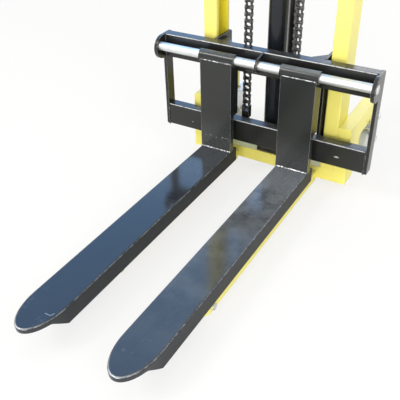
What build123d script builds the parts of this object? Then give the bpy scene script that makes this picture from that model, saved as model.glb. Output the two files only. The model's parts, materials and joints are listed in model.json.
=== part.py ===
from build123d import *
import math
import os

# Hand-operated stacker truck with adjustable forks, one solid per piece, in millimetres with +Z up.
# Pieces are drawn with the forks towards -Y and y = 0 on the front face of the fork carriage.
# The export moves them so that the origin lies on the floor under the middle of the truck.

# Clearances
FIT = 0.05              # radial, pins and shafts
RUN = 0.1               # radial, sleeves that slide by hand
GAP = 2.0               # between pieces that pass each other

# Fork carriage
SPAN = 640.0            # between the end plates
BEAM_HEIGHT = 70.0
BEAM_DEPTH = 34.0
BEAM_WALL = 5.0
BEAM_CORNER = 4.0       # rounding of the long edges
UPPER_TOP = 406.0
LOWER_TOP = 179.0
END_PLATE = 10.0
CENTRE_PLATE = 10.0
NOSE_AHEAD = 48.0       # rounded front of the plates ahead of the carriage face
SHAFT = 25.0
SHAFT_RISE = 7.0        # axis above the middle of the upper beam
SHAFT_AHEAD = 28.0      # axis ahead of the carriage face
SHAFT_STUB = 3.0        # stands out of each end plate
SHAFT_EDGE = 1.0
GUSSET = 8.0
GUSSET_SIDE = 58.0

# Forks
FORK_SPREAD = 250.0     # between the centre lines
BLADE_WIDTH = 100.0
BLADE_TOP = 90.0
BLADE_SIDE = 46.0       # height of the side walls
BLADE_PLATE = 8.0
BLADE_WALL = 6.0
BLADE_EDGE = 5.0        # rounding of the top edges
FORK_REACH = 891.0      # tip ahead of the carriage face
BLADE_ROOT = 5.0        # rear end ahead of the carriage face
TIP_LENGTH = 101.0
TIP_LIP = 13.0
TIP_RISE = 42.0         # length of the rise of the side walls
UPRIGHT = 20.0
SEAT = 2.0              # depth of the step that the upright stands in
SEAT_AHEAD = 3.0        # room for the weld ahead of the upright
SLEEVE_WALL = 5.0
SLEEVE_LENGTH = 112.0
BACK_GAP = 1.5          # between the fork's back and the beams
BACK_HEIGHT = 160.0
PAD_WIDTH = 60.0
PAD_MARGIN = 10.0

# Mast
MAST_WIDTH = 438.0
MAST_FRONT = 54.0
MAST_TOP = 1960.0
CHANNEL_DEPTH = 80.0
CHANNEL_FLANGE = 43.0
CHANNEL_WEB = 5.0
CHANNEL_LIP = 13.0      # thickness of the flanges
CHANNEL_EDGE = 4.0      # rounding of the outer edges
HEAD_PLATE = 8.0
HEAD_HEIGHT = 70.0
BRACE_HEIGHT = 70.0
BRACE_PLATE = 8.0

# Mast rollers
ROLLER_PLAY = 0.5       # to each flange
ROLLER_WIDTH = 28.0
ROLLER_PLATE = 8.0
PLATE_GAP = 5.0         # between roller plate and flange tip
PLATE_REAR_GAP = 9.0    # roller plate ends ahead of the mast's rear
ROLLER_EDGE = 2.0       # chamfer of mast and leg rollers
ROLLER_PIN = 20.0
ROLLER_COLLAR = 32.0
ROLLER_INSET = 41.0     # roller centre from the plate's ends
PLATE_CORNER = 6.0

# Base
BASE_BOTTOM = 21.0
BASE_HEIGHT = 38.0
BASE_DEPTH = 50.0
BASE_WALL = 5.0
ARM_WIDTH = 39.0
ARM_TOP = 204.0
ARM_HEIGHT = 57.0       # rear part, above the casters
ARM_FOOT = 68.0         # length of the low front part
ARM_SLOPE = 30.0
ARM_LENGTH = 236.0
ARM_WALL = 5.0
ARM_BEND = 14.0

# Legs
LEG_SPREAD = 267.0      # between the centre lines
LEG_WIDTH = 67.0
LEG_BOTTOM = 12.0
LEG_REACH = 612.0
LEG_CORNER = 24.0
LEG_TOP_GAP = 2.0       # under the side walls of the blades
LEG_ROLLER_WIDTH = 42.0
LEG_ROLLER_BACK = 38.0  # roller centre behind the leg's tip
LEG_AXLE = 10.0
LEG_AXLE_HEAD = 18.0
LEG_HEAD_LENGTH = 4.0

# Chains (19.05 mm pitch) and pulleys
PITCH = 19.05
CHAIN_SPREAD = 148.0
CHAIN_BACK = 57.0       # front run behind the carriage face
CHAIN_LINKS = 46
WRAP_LINKS = 6
REAR_LINKS = 1
LINK_INNER = 12.6       # between the inner plates
LINK_PLATE = 2.4
LINK_HEIGHT = 17.0
LINK_ROLLER = 11.9
PULLEY_FLANGE = 3.0
PULLEY_RIM = 45.0       # radius of the flanges
PULLEY_AXLE = 20.0
AXLE_STUB = 6.0         # pulley axle stands out of the pulleys
GROOVE_PLAY = 1.5       # pulley groove beside and under the links
RIB_PLAY = 0.5
SEAT_PLAY = 0.3
CLEVIS_HEIGHT = 30.0
CLEVIS_WIDTH = 24.0
CLEVIS_DEPTH = 16.0
ANCHOR_PLATE = 10.0
ANCHOR_BOLT = 12.0
ANCHOR_NUT = 20.0
ANCHOR_NUT_HEIGHT = 10.0
ANCHOR_MARGIN = 4.0     # of the plate round the clevis
ANCHOR_RISE = 14.0      # from anchor plate to clevis

# Lift cylinder
BARREL = 56.0
BORE = 46.0
ROD = 32.0
GLAND = 62.0
GLAND_HEIGHT = 26.0
GLAND_EDGE = 3.0
ROD_SHOW = 16.0         # rod seen below the crosshead when lowered
PISTON_HEIGHT = 24.0
PISTON_REST = 8.0       # above the foot
FOOT = 70.0
FOOT_HEIGHT = 16.0
CROSSHEAD_WIDTH = 104.0
CROSSHEAD_DEPTH = 44.0
CROSSHEAD_HEIGHT = 56.0
CROSSHEAD_EDGE = 10.0
SADDLE_HEIGHT = 30.0
SADDLE_WALL = 9.0

# Pump and pump lever
PUMP_SHELF = 8.0
PUMP_SHELF_WIDTH = 120.0
PUMP_SHELF_LIP = 28.0
PUMP_FRONT = 160.0
PUMP_DEPTH = 120.0
PUMP_WIDTH = 92.0
PUMP_HEIGHT = 78.0
PUMP_EDGE = 10.0
LEVER_BACK = 206.0      # lever pivot behind the carriage face
LEVER_RISE = 46.0       # pivot above the pump
LEVER_PIN = 16.0
LEVER_EYE = 36.0
LEVER_TUBE = 30.0
LEVER_TOP = 1110.0
LEVER_CAM = 44.0        # cam roller from the pivot
LEVER_CAM_ANGLE = 20.0  # above the level at rest, below it at the end of the stroke
LEVER_ARM = 10.0
CAM_ROLLER = 20.0
CHEEK = 10.0
CHEEK_INNER = 34.0
HANDLE_TUBE = 24.0
HANDLE_WIDTH = 290.0
HANDLE_HEIGHT = 150.0
HANDLE_SLOPE = 55.0
HANDLE_BEND = 36.0
HANDLE_BLOCK = 44.0
HANDLE_RIM = 3.0        # block beyond the tube
PLUNGER = 18.0
PLUNGER_HEAD = 20.0
PLUNGER_CAP = 8.0
PLUNGER_SLEEVE = 32.0
CAM_GAP = 0.4
CAP = 24.0
CAP_HEIGHT = 12.0
RELEASE_PIN = 10.0
RELEASE_LENGTH = 70.0
RELEASE_WIDTH = 14.0
RELEASE_PLATE = 6.0
PIPE = 10.0
PIPE_NUT = 14.0
PIPE_NUT_LENGTH = 8.0

# Grab handles on the mast
GRAB_TUBE = 22.0
GRAB_BOTTOM = 1050.0
GRAB_HEIGHT = 200.0
GRAB_OUT = 60.0
GRAB_BEND = 28.0

# Casters
WHEEL = 125.0
WHEEL_WIDTH = 40.0
WHEEL_EDGE = 6.0
WHEEL_CROWN = 1.0
HUB_WIDTH = 46.0
HUB = 34.0
HUB_PLAY = 0.5
HUB_FLARE = 6.0
RIM_WEB = 22.0
RIM_INNER = 92.0
RIM_FLARE = 4.0
SWIVEL_BACK = 258.0     # behind the carriage face
TRAIL = 38.0            # wheel axle behind the swivel
CASTER_PLATE = 6.0
CASTER_PLATE_WIDTH = 64.0
CASTER_PLATE_LENGTH = 64.0
RACE = 52.0
RACE_HEIGHT = 7.0
CROWN_GAP = 0.4
YOKE_PLATE = 5.0
YOKE_EYE = 34.0
YOKE_LENGTH = 74.0
CASTER_AXLE = 12.0
AXLE_HEAD = 20.0
AXLE_HEAD_LENGTH = 6.0
BRAKE_PIN = 8.0
BRAKE_BACK = 36.0       # brake pivot behind the wheel axle
BRAKE_RISE = 62.0       # brake pivot above the wheel axle
BRAKE_LENGTH = 16.0
BRAKE_STUB = 1.0        # pin stands out of the yoke
BRAKE_PLATE = 6.0
BRAKE_EYE = 14.0

# Derived places
SHAFT_Y = -SHAFT_AHEAD
SHAFT_Z = UPPER_TOP - BEAM_HEIGHT / 2 + SHAFT_RISE
LOWER_BOTTOM = LOWER_TOP - BEAM_HEIGHT
SLEEVE = SHAFT + 2 * RUN + 2 * SLEEVE_WALL
UPRIGHT_FRONT = SHAFT_Y - SLEEVE / 2
UPRIGHT_BACK = UPRIGHT_FRONT + UPRIGHT
BLADE_BOTTOM = BLADE_TOP - BLADE_SIDE
MAST_REAR = MAST_FRONT + CHANNEL_DEPTH
MAST_MID = MAST_FRONT + CHANNEL_DEPTH / 2
MAST_INNER = MAST_WIDTH / 2 - CHANNEL_FLANGE
ROLLER = CHANNEL_DEPTH - 2 * CHANNEL_LIP - 2 * ROLLER_PLAY
PLATE_OUTER = MAST_INNER - PLATE_GAP
PLATE_INNER = PLATE_OUTER - ROLLER_PLATE
BASE_TOP = BASE_BOTTOM + BASE_HEIGHT
ARM_OUTER = MAST_WIDTH / 2 + ARM_WIDTH
ARM_UNDER = ARM_TOP - ARM_HEIGHT
LEG_TOP = BLADE_BOTTOM - LEG_TOP_GAP
LEG_ROLLER = LEG_TOP
LEG_AXLE_Y = LEG_ROLLER_BACK - LEG_REACH
PULLEY_PITCH = PITCH / (2 * math.sin(math.pi / (2 * WRAP_LINKS)))
PULLEY_Y = CHAIN_BACK + PULLEY_PITCH
REAR_RUN_Y = PULLEY_Y + PULLEY_PITCH
LINK_OUTER = LINK_INNER + 4 * LINK_PLATE
ANCHOR_Z = LOWER_TOP - BEAM_HEIGHT / 2
CHAIN_START = ANCHOR_Z + ANCHOR_PLATE + ANCHOR_RISE + CLEVIS_HEIGHT
PULLEY_Z = CHAIN_START + CHAIN_LINKS * PITCH
REAR_END = PULLEY_Z - REAR_LINKS * PITCH
FIXED_TOP = REAR_END - CLEVIS_HEIGHT - ANCHOR_RISE
BRACE_TOP = FIXED_TOP - ANCHOR_PLATE
FOOT_TOP = BASE_TOP + FOOT_HEIGHT
CROSSHEAD_BOTTOM = PULLEY_Z - CROSSHEAD_HEIGHT / 2
GLAND_TOP = CROSSHEAD_BOTTOM - ROD_SHOW
BARREL_TOP = GLAND_TOP - GLAND_HEIGHT
PISTON_BOTTOM = FOOT_TOP + PISTON_REST
PUMP_TOP = BASE_TOP + PUMP_HEIGHT
PLUNGER_STROKE = 2 * LEVER_CAM * math.sin(math.radians(LEVER_CAM_ANGLE))
LEVER_Z = PUMP_TOP + LEVER_RISE
SWIVEL_X = MAST_WIDTH / 2 + ARM_WIDTH / 2
AXLE_Y = SWIVEL_BACK + TRAIL
AXLE_Z = WHEEL / 2
RACE_BOTTOM = ARM_UNDER - CASTER_PLATE - RACE_HEIGHT
CROWN_TOP = RACE_BOTTOM - CROWN_GAP
YOKE_INNER = HUB_WIDTH / 2 + FIT
BRAKE_Y = AXLE_Y + BRAKE_BACK
BRAKE_Z = AXLE_Z + BRAKE_RISE
REAR_REACH = AXLE_Y + WHEEL / 2
SHIFT_Y = (FORK_REACH - REAR_REACH) / 2


def block(x0, x1, y0, y1, z0, z1):
    """Box between two corners."""
    size = Box(x1 - x0, y1 - y0, z1 - z0)
    return Pos((x0 + x1) / 2, (y0 + y1) / 2, (z0 + z1) / 2) * size


def bar_x(x0, x1, y, z, diameter):
    """Round bar along X."""
    return Pos((x0 + x1) / 2, y, z) * Rot(0, 90, 0) * Cylinder(diameter / 2, x1 - x0)


def bar_y(x, y0, y1, z, diameter):
    """Round bar along Y."""
    return Pos(x, (y0 + y1) / 2, z) * Rot(90, 0, 0) * Cylinder(diameter / 2, y1 - y0)


def bar_z(x, y, z0, z1, diameter):
    """Round bar along Z."""
    return Pos(x, y, (z0 + z1) / 2) * Cylinder(diameter / 2, z1 - z0)


def slab_x(x0, x1, outline):
    """Plate cut to an outline in Y and Z, from x0 to x1."""
    return extrude(Plane.YZ.offset(x0) * outline, amount=x1 - x0)


def slab_z(z0, z1, outline):
    """Plate cut to an outline in X and Y, from z0 to z1."""
    return extrude(Plane.XY.offset(z0) * outline, amount=z1 - z0)


def area(*points):
    """Flat area inside a closed polyline."""
    return make_face(Polyline(*points, close=True))


def mirrored(shape):
    """Copy on the other side of the truck."""
    return mirror(shape, about=Plane.YZ)


def both(shape):
    """The shape and its mirror copy as one group."""
    return Compound([*shape.solids(), *mirrored(shape).solids()])


def turned_x(x, y, z, profile):
    """Solid turned about an X axis: profile points are (along the axis, radius)."""
    face = make_face(Polyline(*profile, close=True))
    return Pos(x, y, z) * revolve(face, Axis.X)


def tube_along(path, diameter):
    """Round bar along a path."""
    start = Plane(path @ 0, z_dir=path % 0)
    return sweep(start * Circle(diameter / 2), path=path)


def carriage_parts():
    """Beams, plates and shaft of the lifting carriage."""
    half = SPAN / 2
    hollow = block(-half - 1, half + 1, BEAM_WALL, BEAM_DEPTH - BEAM_WALL,
                   BEAM_WALL, BEAM_HEIGHT - BEAM_WALL)
    bar = block(-half, half, 0, BEAM_DEPTH, 0, BEAM_HEIGHT)
    beam = fillet(bar.edges().filter_by(Axis.X), BEAM_CORNER) - hollow
    ring = Pos(BEAM_HEIGHT / 2 - NOSE_AHEAD, UPPER_TOP - BEAM_HEIGHT / 2) * Circle(BEAM_HEIGHT / 2)
    root = Line((0, UPPER_TOP), (0, UPPER_TOP - BEAM_HEIGHT))
    hole = Pos(SHAFT_Y, SHAFT_Z) * Circle(SHAFT / 2 + FIT)
    nose = make_hull(ring.edges() + root.edges()) - hole
    tall = UPPER_TOP - LOWER_BOTTOM
    post = Pos(BEAM_DEPTH / 2, LOWER_BOTTOM + tall / 2) * Rectangle(BEAM_DEPTH, tall)
    end_plate = slab_x(half, half + END_PLATE, nose + post)
    centre = slab_x(-CENTRE_PLATE / 2, CENTRE_PLATE / 2, nose - post)
    corner = area((PLATE_INNER - GUSSET_SIDE, BEAM_DEPTH), (PLATE_INNER, BEAM_DEPTH),
                  (PLATE_INNER, BEAM_DEPTH + GUSSET_SIDE))
    gusset = slab_z(UPPER_TOP - 2 * GUSSET, UPPER_TOP - GUSSET, corner)
    reach = half + END_PLATE + SHAFT_STUB
    shaft = bar_x(-reach, reach, SHAFT_Y, SHAFT_Z, SHAFT)
    return {
        "carriage_upper_beam": Pos(0, 0, UPPER_TOP - BEAM_HEIGHT) * beam,
        "carriage_lower_beam": Pos(0, 0, LOWER_BOTTOM) * beam,
        "carriage_end_plate_right": end_plate,
        "carriage_end_plate_left": mirrored(end_plate),
        "carriage_centre_plate": centre,
        "carriage_gussets": both(gusset),
        "fork_shaft": chamfer(shaft.edges().filter_by(GeomType.CIRCLE), SHAFT_EDGE),
    }


def roller_profile(half, bore, rim):
    """Half section of a plain roller with chamfered edges, for turning."""
    return ((-half, bore), (half, bore), (half, rim - ROLLER_EDGE), (half - ROLLER_EDGE, rim),
            (ROLLER_EDGE - half, rim), (-half, rim - ROLLER_EDGE))


def roller_parts():
    """Roller plates with their stub axles, and the rollers that run in the mast."""
    low = LOWER_BOTTOM + ROLLER_INSET
    high = UPPER_TOP - ROLLER_INSET
    rear = MAST_REAR - PLATE_REAR_GAP
    outline = Pos((BEAM_DEPTH + rear) / 2, (LOWER_BOTTOM + UPPER_TOP) / 2) * Rectangle(
        rear - BEAM_DEPTH, UPPER_TOP - LOWER_BOTTOM)
    outline = fillet(outline.vertices().group_by(Axis.X)[-1], PLATE_CORNER)
    plate = slab_x(PLATE_INNER, PLATE_OUTER, outline)
    roller_start = MAST_WIDTH / 2 - CHANNEL_WEB - PLATE_GAP - ROLLER_WIDTH
    roller_end = roller_start + ROLLER_WIDTH
    for z in (low, high):
        plate += bar_x(PLATE_OUTER, roller_start - ROLLER_PLAY, MAST_MID, z, ROLLER_COLLAR)
        plate += bar_x(PLATE_OUTER, roller_end, MAST_MID, z, ROLLER_PIN)
    half = ROLLER_WIDTH / 2
    profile = roller_profile(half, ROLLER_PIN / 2 + FIT, ROLLER / 2)
    nodes = {"roller_plate_right": plate, "roller_plate_left": mirrored(plate)}
    for level, z in (("lower", low), ("upper", high)):
        roller = turned_x(roller_start + half, MAST_MID, z, profile)
        nodes["mast_roller_" + level + "_right"] = roller
        nodes["mast_roller_" + level + "_left"] = mirrored(roller)
    return nodes


def blade_plan(inset, root):
    """Outline of a blade from above, drawn in by an inset."""
    half = BLADE_WIDTH / 2 - inset
    straight = TIP_LENGTH - FORK_REACH
    body = Pos(0, (root + straight) / 2) * Rectangle(2 * half, root - straight)
    return body + Pos(0, straight) * Ellipse(half, TIP_LENGTH - inset)


def fork_parts():
    """Two forks: a channel-shaped blade with a rounded tip, and the upright with its sleeve."""
    solid = slab_z(BLADE_BOTTOM, BLADE_TOP, blade_plan(0, -BLADE_ROOT))
    room = slab_z(BLADE_BOTTOM - 1, BLADE_TOP - BLADE_PLATE, blade_plan(BLADE_WALL, 0))
    rise = TIP_LENGTH - FORK_REACH - BLADE_WALL
    lip = BLADE_TOP - TIP_LIP
    under = area((rise, BLADE_BOTTOM - 1), (rise, BLADE_BOTTOM), (rise - TIP_RISE, lip),
                 (-FORK_REACH - 1, lip), (-FORK_REACH - 1, BLADE_BOTTOM - 1))
    knee = under.vertices().sort_by_distance(Vector(rise - TIP_RISE, lip))[0]
    cutter = slab_x(-BLADE_WIDTH, BLADE_WIDTH, fillet(knee, TIP_LIP))
    solid = fillet(solid.edges().group_by(Axis.Z)[-1].sort_by(Axis.Y)[:-1], BLADE_EDGE)
    half = BLADE_WIDTH / 2
    seat = block(-half, half, UPRIGHT_FRONT - SEAT_AHEAD, 0, BLADE_TOP - SEAT, BLADE_TOP + 1)
    blade = solid - room - cutter - seat
    back_top = SHAFT_Z - SLEEVE / 2 + SLEEVE_WALL
    hanger = block(-half, half, UPRIGHT_FRONT, UPRIGHT_BACK, BLADE_TOP - SEAT, SHAFT_Z)
    hanger += block(-half, half, UPRIGHT_BACK, -BACK_GAP, back_top - BACK_HEIGHT, back_top)
    hanger += block(-PAD_WIDTH / 2, PAD_WIDTH / 2, UPRIGHT_BACK, -BACK_GAP, LOWER_BOTTOM + PAD_MARGIN,
                    LOWER_TOP - PAD_MARGIN)
    hanger += bar_x(-SLEEVE_LENGTH / 2, SLEEVE_LENGTH / 2, SHAFT_Y, SHAFT_Z, SLEEVE)
    hanger -= bar_x(-SLEEVE_LENGTH, SLEEVE_LENGTH, SHAFT_Y, SHAFT_Z, SHAFT + 2 * RUN)
    nodes = {}
    for side, x in (("left", -FORK_SPREAD / 2), ("right", FORK_SPREAD / 2)):
        nodes["fork_" + side + "_blade"] = Pos(x, 0, 0) * blade
        nodes["fork_" + side + "_upright"] = Pos(x, 0, 0) * hanger
    return nodes


def mast_parts():
    """Two channels open towards each other, with head beam, rear brace and grab handles."""
    outer = MAST_WIDTH / 2
    bar = block(MAST_INNER, outer, MAST_FRONT, MAST_REAR, BASE_TOP, MAST_TOP)
    channel = fillet(bar.edges().filter_by(Axis.Z), CHANNEL_EDGE)
    channel -= block(MAST_INNER - 1, outer - CHANNEL_WEB, MAST_FRONT + CHANNEL_LIP, MAST_REAR - CHANNEL_LIP,
                     BASE_TOP - 1, MAST_TOP + 1)
    head = block(-outer, outer, MAST_FRONT, MAST_REAR + HEAD_PLATE, MAST_TOP, MAST_TOP + HEAD_PLATE)
    head += block(-outer, outer, MAST_REAR, MAST_REAR + HEAD_PLATE, MAST_TOP - HEAD_HEIGHT, MAST_TOP)
    brace = block(-outer, outer, MAST_REAR, MAST_REAR + BRACE_PLATE, BRACE_TOP - BRACE_HEIGHT, BRACE_TOP)
    notch = ANCHOR_NUT / 2 + GAP
    for x in (-CHAIN_SPREAD / 2, CHAIN_SPREAD / 2):
        brace -= block(x - notch, x + notch, MAST_REAR, MAST_REAR + BRACE_PLATE,
                       BRACE_TOP - 2 * ANCHOR_NUT_HEIGHT - 2 * GAP, BRACE_TOP)
    saddle_top = BRACE_TOP - (BRACE_HEIGHT - SADDLE_HEIGHT) / 2
    brace += block(-BARREL / 2 - SADDLE_WALL, BARREL / 2 + SADDLE_WALL, PULLEY_Y, MAST_REAR,
                   saddle_top - SADDLE_HEIGHT, saddle_top)
    ring = bar_z(0, PULLEY_Y, saddle_top - SADDLE_HEIGHT, saddle_top, BARREL + 2 * SADDLE_WALL)
    brace += ring
    brace -= bar_z(0, PULLEY_Y, saddle_top - SADDLE_HEIGHT - 1, saddle_top + 1, BARREL + 2 * FIT)
    x = outer - CHANNEL_FLANGE / 2
    out = MAST_REAR + GRAB_OUT
    top = GRAB_BOTTOM + GRAB_HEIGHT
    path = FilletPolyline((x, MAST_REAR, GRAB_BOTTOM), (x, out, GRAB_BOTTOM), (x, out, top),
                          (x, MAST_REAR, top), radius=GRAB_BEND)
    grab = tube_along(path, GRAB_TUBE)
    return {
        "mast_column_right": channel,
        "mast_column_left": mirrored(channel),
        "mast_head_beam": head,
        "mast_rear_brace": brace,
        "grab_handle_right": grab,
        "grab_handle_left": mirrored(grab),
    }


def arm_outline(inset, floor):
    """Side view of a base arm: low at the mast, high over the caster."""
    front = MAST_FRONT + inset
    rear = MAST_FRONT + ARM_LENGTH - inset
    knee = MAST_FRONT + ARM_FOOT - inset / 2
    hip = knee + ARM_SLOPE - inset / 2
    shape = area((front, BASE_BOTTOM + inset), (knee, BASE_BOTTOM + inset), (hip, floor), (rear, floor),
                 (rear, ARM_TOP - inset), (front, ARM_TOP - inset))
    corners = [shape.vertices().sort_by_distance(Vector(*point))[0]
               for point in ((knee, BASE_BOTTOM + inset), (hip, floor))]
    return fillet(corners, ARM_BEND - inset)


def base_parts():
    """Front beam, side arms and the low legs with their rollers."""
    inner = MAST_WIDTH / 2
    beam = block(-inner, inner, MAST_FRONT, MAST_FRONT + BASE_DEPTH, BASE_BOTTOM, BASE_TOP)
    beam -= block(-inner - 1, inner + 1, MAST_FRONT + BASE_WALL, MAST_FRONT + BASE_DEPTH - BASE_WALL,
                  BASE_BOTTOM + BASE_WALL, BASE_TOP - BASE_WALL)
    arm = slab_x(inner, ARM_OUTER, arm_outline(0, ARM_UNDER))
    arm -= slab_x(inner + ARM_WALL, ARM_OUTER - ARM_WALL, arm_outline(ARM_WALL, ARM_UNDER + ARM_WALL))
    open_front = MAST_FRONT + ARM_FOOT + ARM_SLOPE + ARM_BEND
    arm -= block(inner + ARM_WALL, ARM_OUTER - ARM_WALL, open_front, MAST_FRONT + ARM_LENGTH - ARM_WALL,
                 ARM_UNDER - 1, ARM_UNDER + ARM_WALL + 1)
    mid = LEG_SPREAD / 2
    x0 = mid - LEG_WIDTH / 2
    x1 = mid + LEG_WIDTH / 2
    plan = Pos(mid, (MAST_FRONT - LEG_REACH) / 2) * Rectangle(LEG_WIDTH, MAST_FRONT + LEG_REACH)
    plan = fillet(plan.vertices().group_by(Axis.Y)[0], LEG_CORNER)
    slot = Pos(mid, LEG_AXLE_Y) * Rectangle(LEG_ROLLER_WIDTH + 2 * GAP, LEG_ROLLER + 2 * GAP)
    leg = slab_z(LEG_BOTTOM, LEG_TOP, plan - slot)
    leg -= bar_x(x0 - 1, x1 + 1, LEG_AXLE_Y, LEG_ROLLER / 2, LEG_AXLE + 2 * FIT)
    axle = bar_x(x0 - LEG_HEAD_LENGTH, x1 + LEG_HEAD_LENGTH, LEG_AXLE_Y, LEG_ROLLER / 2, LEG_AXLE)
    axle += bar_x(x0 - LEG_HEAD_LENGTH, x0, LEG_AXLE_Y, LEG_ROLLER / 2, LEG_AXLE_HEAD)
    axle += bar_x(x1, x1 + LEG_HEAD_LENGTH, LEG_AXLE_Y, LEG_ROLLER / 2, LEG_AXLE_HEAD)
    half = LEG_ROLLER_WIDTH / 2
    profile = roller_profile(half, LEG_AXLE / 2 + FIT, LEG_ROLLER / 2)
    roller = turned_x(mid, LEG_AXLE_Y, LEG_ROLLER / 2, profile)
    return {
        "base_front_beam": beam,
        "base_arm_right": arm,
        "base_arm_left": mirrored(arm),
        "leg_right": leg,
        "leg_left": mirrored(leg),
        "leg_axles": both(axle),
        "leg_roller_right": roller,
        "leg_roller_left": mirrored(roller),
    }


def link_plate(x, start, end, height):
    """One chain plate between two pins given as (y, z)."""
    along = Vector(end[0] - start[0], end[1] - start[1])
    angle = math.degrees(math.atan2(along.Y, along.X))
    length = along.length + height * 0.9
    outline = area((length / 2, height / 4), (length / 2, -height / 4), (along.length / 2, -height / 2),
                   (-along.length / 2, -height / 2), (-length / 2, -height / 4), (-length / 2, height / 4),
                   (-along.length / 2, height / 2), (along.length / 2, height / 2))
    middle = Pos((start[0] + end[0]) / 2, (start[1] + end[1]) / 2) * Rot(0, 0, angle)
    return slab_x(x, x + LINK_PLATE, middle * outline)


def chain(pins, rollers):
    """Roller chain through pins given as (y, z), fused to one piece, with rollers on the first of them."""
    inner = LINK_INNER / 2
    pieces = []
    for y, z in pins[:rollers]:
        roller = Pos(y, z) * RegularPolygon(LINK_ROLLER / 2, 6)
        pieces.append(slab_x(-inner - LINK_PLATE / 8, inner + LINK_PLATE / 8, roller))
    for number, (start, end) in enumerate(zip(pins, pins[1:])):
        offset = inner + LINK_PLATE * (number % 2)
        plate = link_plate(offset, start, end, LINK_HEIGHT)
        pieces += [plate, mirrored(plate)]
    return pieces[0].fuse(*pieces[1:])


def chain_parts():
    """Lift chains: front runs, half turns over the pulleys, rear runs, and their anchors."""
    half = CHAIN_SPREAD / 2
    front = [(CHAIN_BACK, CHAIN_START + i * PITCH) for i in range(CHAIN_LINKS + 1)]
    step = math.pi / WRAP_LINKS
    wrap = [(PULLEY_Y - PULLEY_PITCH * math.cos(i * step), PULLEY_Z + PULLEY_PITCH * math.sin(i * step))
            for i in range(WRAP_LINKS + 1)]
    rear = [(REAR_RUN_Y, PULLEY_Z - i * PITCH) for i in range(REAR_LINKS + 1)]
    nodes = {}
    for name, pins, rollers in (("front_runs", front, CHAIN_LINKS), ("wraps", wrap, WRAP_LINKS),
                                ("rear_runs", rear, REAR_LINKS + 1)):
        nodes["chain_" + name] = both(Pos(half, 0, 0) * chain(pins, rollers))
    nodes["chain_carriage_anchors"] = both(anchor(half, CHAIN_BACK, CHAIN_START, BEAM_DEPTH))
    nodes["chain_fixed_anchors"] = both(anchor(half, REAR_RUN_Y, REAR_END, REAR_RUN_Y - CLEVIS_WIDTH / 2))
    return nodes


def anchor(x, y, pin_z, back):
    """Anchor plate with bolt, nut and clevis; the chain's last pin lies at pin_z."""
    top = pin_z - CLEVIS_HEIGHT - ANCHOR_RISE
    half = CLEVIS_WIDTH / 2 + ANCHOR_MARGIN
    front = y + half
    piece = block(x - half, x + half, back, front, top - ANCHOR_PLATE, top)
    piece += bar_z(x, y, top - ANCHOR_PLATE - ANCHOR_NUT_HEIGHT * 2, pin_z - CLEVIS_HEIGHT, ANCHOR_BOLT)
    nut = Pos(x, y) * RegularPolygon(ANCHOR_NUT / 2, 6)
    piece += slab_z(top - ANCHOR_PLATE - ANCHOR_NUT_HEIGHT, top - ANCHOR_PLATE, nut)
    piece += block(x - CLEVIS_WIDTH / 2, x + CLEVIS_WIDTH / 2, y - CLEVIS_DEPTH / 2, y + CLEVIS_DEPTH / 2,
                   pin_z - CLEVIS_HEIGHT, pin_z + LINK_HEIGHT / 2)
    ear = LINK_INNER / 2 + LINK_PLATE
    piece -= block(x - ear, x + ear, y - CLEVIS_DEPTH, y + CLEVIS_DEPTH, pin_z - LINK_HEIGHT * 0.55,
                   pin_z + LINK_HEIGHT)
    return piece


def lift_parts():
    """Cylinder, rod, crosshead and the two chain pulleys."""
    foot = block(-FOOT / 2, FOOT / 2, PULLEY_Y - FOOT / 2, PULLEY_Y + FOOT / 2, BASE_TOP, FOOT_TOP)
    barrel = bar_z(0, PULLEY_Y, FOOT_TOP, BARREL_TOP, BARREL)
    barrel -= bar_z(0, PULLEY_Y, FOOT_TOP, BARREL_TOP, BORE)
    gland = bar_z(0, PULLEY_Y, BARREL_TOP, GLAND_TOP, GLAND)
    gland = chamfer(gland.edges().group_by(Axis.Z)[-1], GLAND_EDGE)
    gland -= bar_z(0, PULLEY_Y, BARREL_TOP, GLAND_TOP, ROD + 2 * FIT)
    piston = bar_z(0, PULLEY_Y, PISTON_BOTTOM, PISTON_BOTTOM + PISTON_HEIGHT, BORE - 2 * FIT)
    rod = bar_z(0, PULLEY_Y, PISTON_BOTTOM + PISTON_HEIGHT, CROSSHEAD_BOTTOM, ROD)
    head = block(-CROSSHEAD_WIDTH / 2, CROSSHEAD_WIDTH / 2, PULLEY_Y - CROSSHEAD_DEPTH / 2,
                 PULLEY_Y + CROSSHEAD_DEPTH / 2, CROSSHEAD_BOTTOM, CROSSHEAD_BOTTOM + CROSSHEAD_HEIGHT)
    head = fillet(head.edges().filter_by(Axis.Y), CROSSHEAD_EDGE)
    head -= bar_x(-CROSSHEAD_WIDTH, CROSSHEAD_WIDTH, PULLEY_Y, PULLEY_Z, PULLEY_AXLE + 2 * FIT)
    groove = LINK_OUTER / 2 + GROOVE_PLAY
    rib = LINK_INNER / 2 - RIB_PLAY
    seat = PULLEY_PITCH - LINK_ROLLER / 2 - SEAT_PLAY
    valley = PULLEY_PITCH - LINK_HEIGHT / 2 - GROOVE_PLAY
    side = groove + PULLEY_FLANGE
    hole = PULLEY_AXLE / 2 + FIT
    profile = ((-side, hole), (side, hole), (side, PULLEY_RIM), (groove, PULLEY_RIM), (groove, valley),
               (rib, valley), (rib, seat), (-rib, seat), (-rib, valley), (-groove, valley),
               (-groove, PULLEY_RIM), (-side, PULLEY_RIM))
    pulley = turned_x(CHAIN_SPREAD / 2, PULLEY_Y, PULLEY_Z, profile)
    reach = CHAIN_SPREAD / 2 + side + AXLE_STUB
    return {
        "cylinder_foot": foot,
        "cylinder_barrel": barrel,
        "cylinder_gland": gland,
        "cylinder_piston": piston,
        "piston_rod": rod,
        "crosshead": head,
        "pulley_axle": bar_x(-reach, reach, PULLEY_Y, PULLEY_Z, PULLEY_AXLE),
        "chain_pulley_right": pulley,
        "chain_pulley_left": mirrored(pulley),
    }


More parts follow.
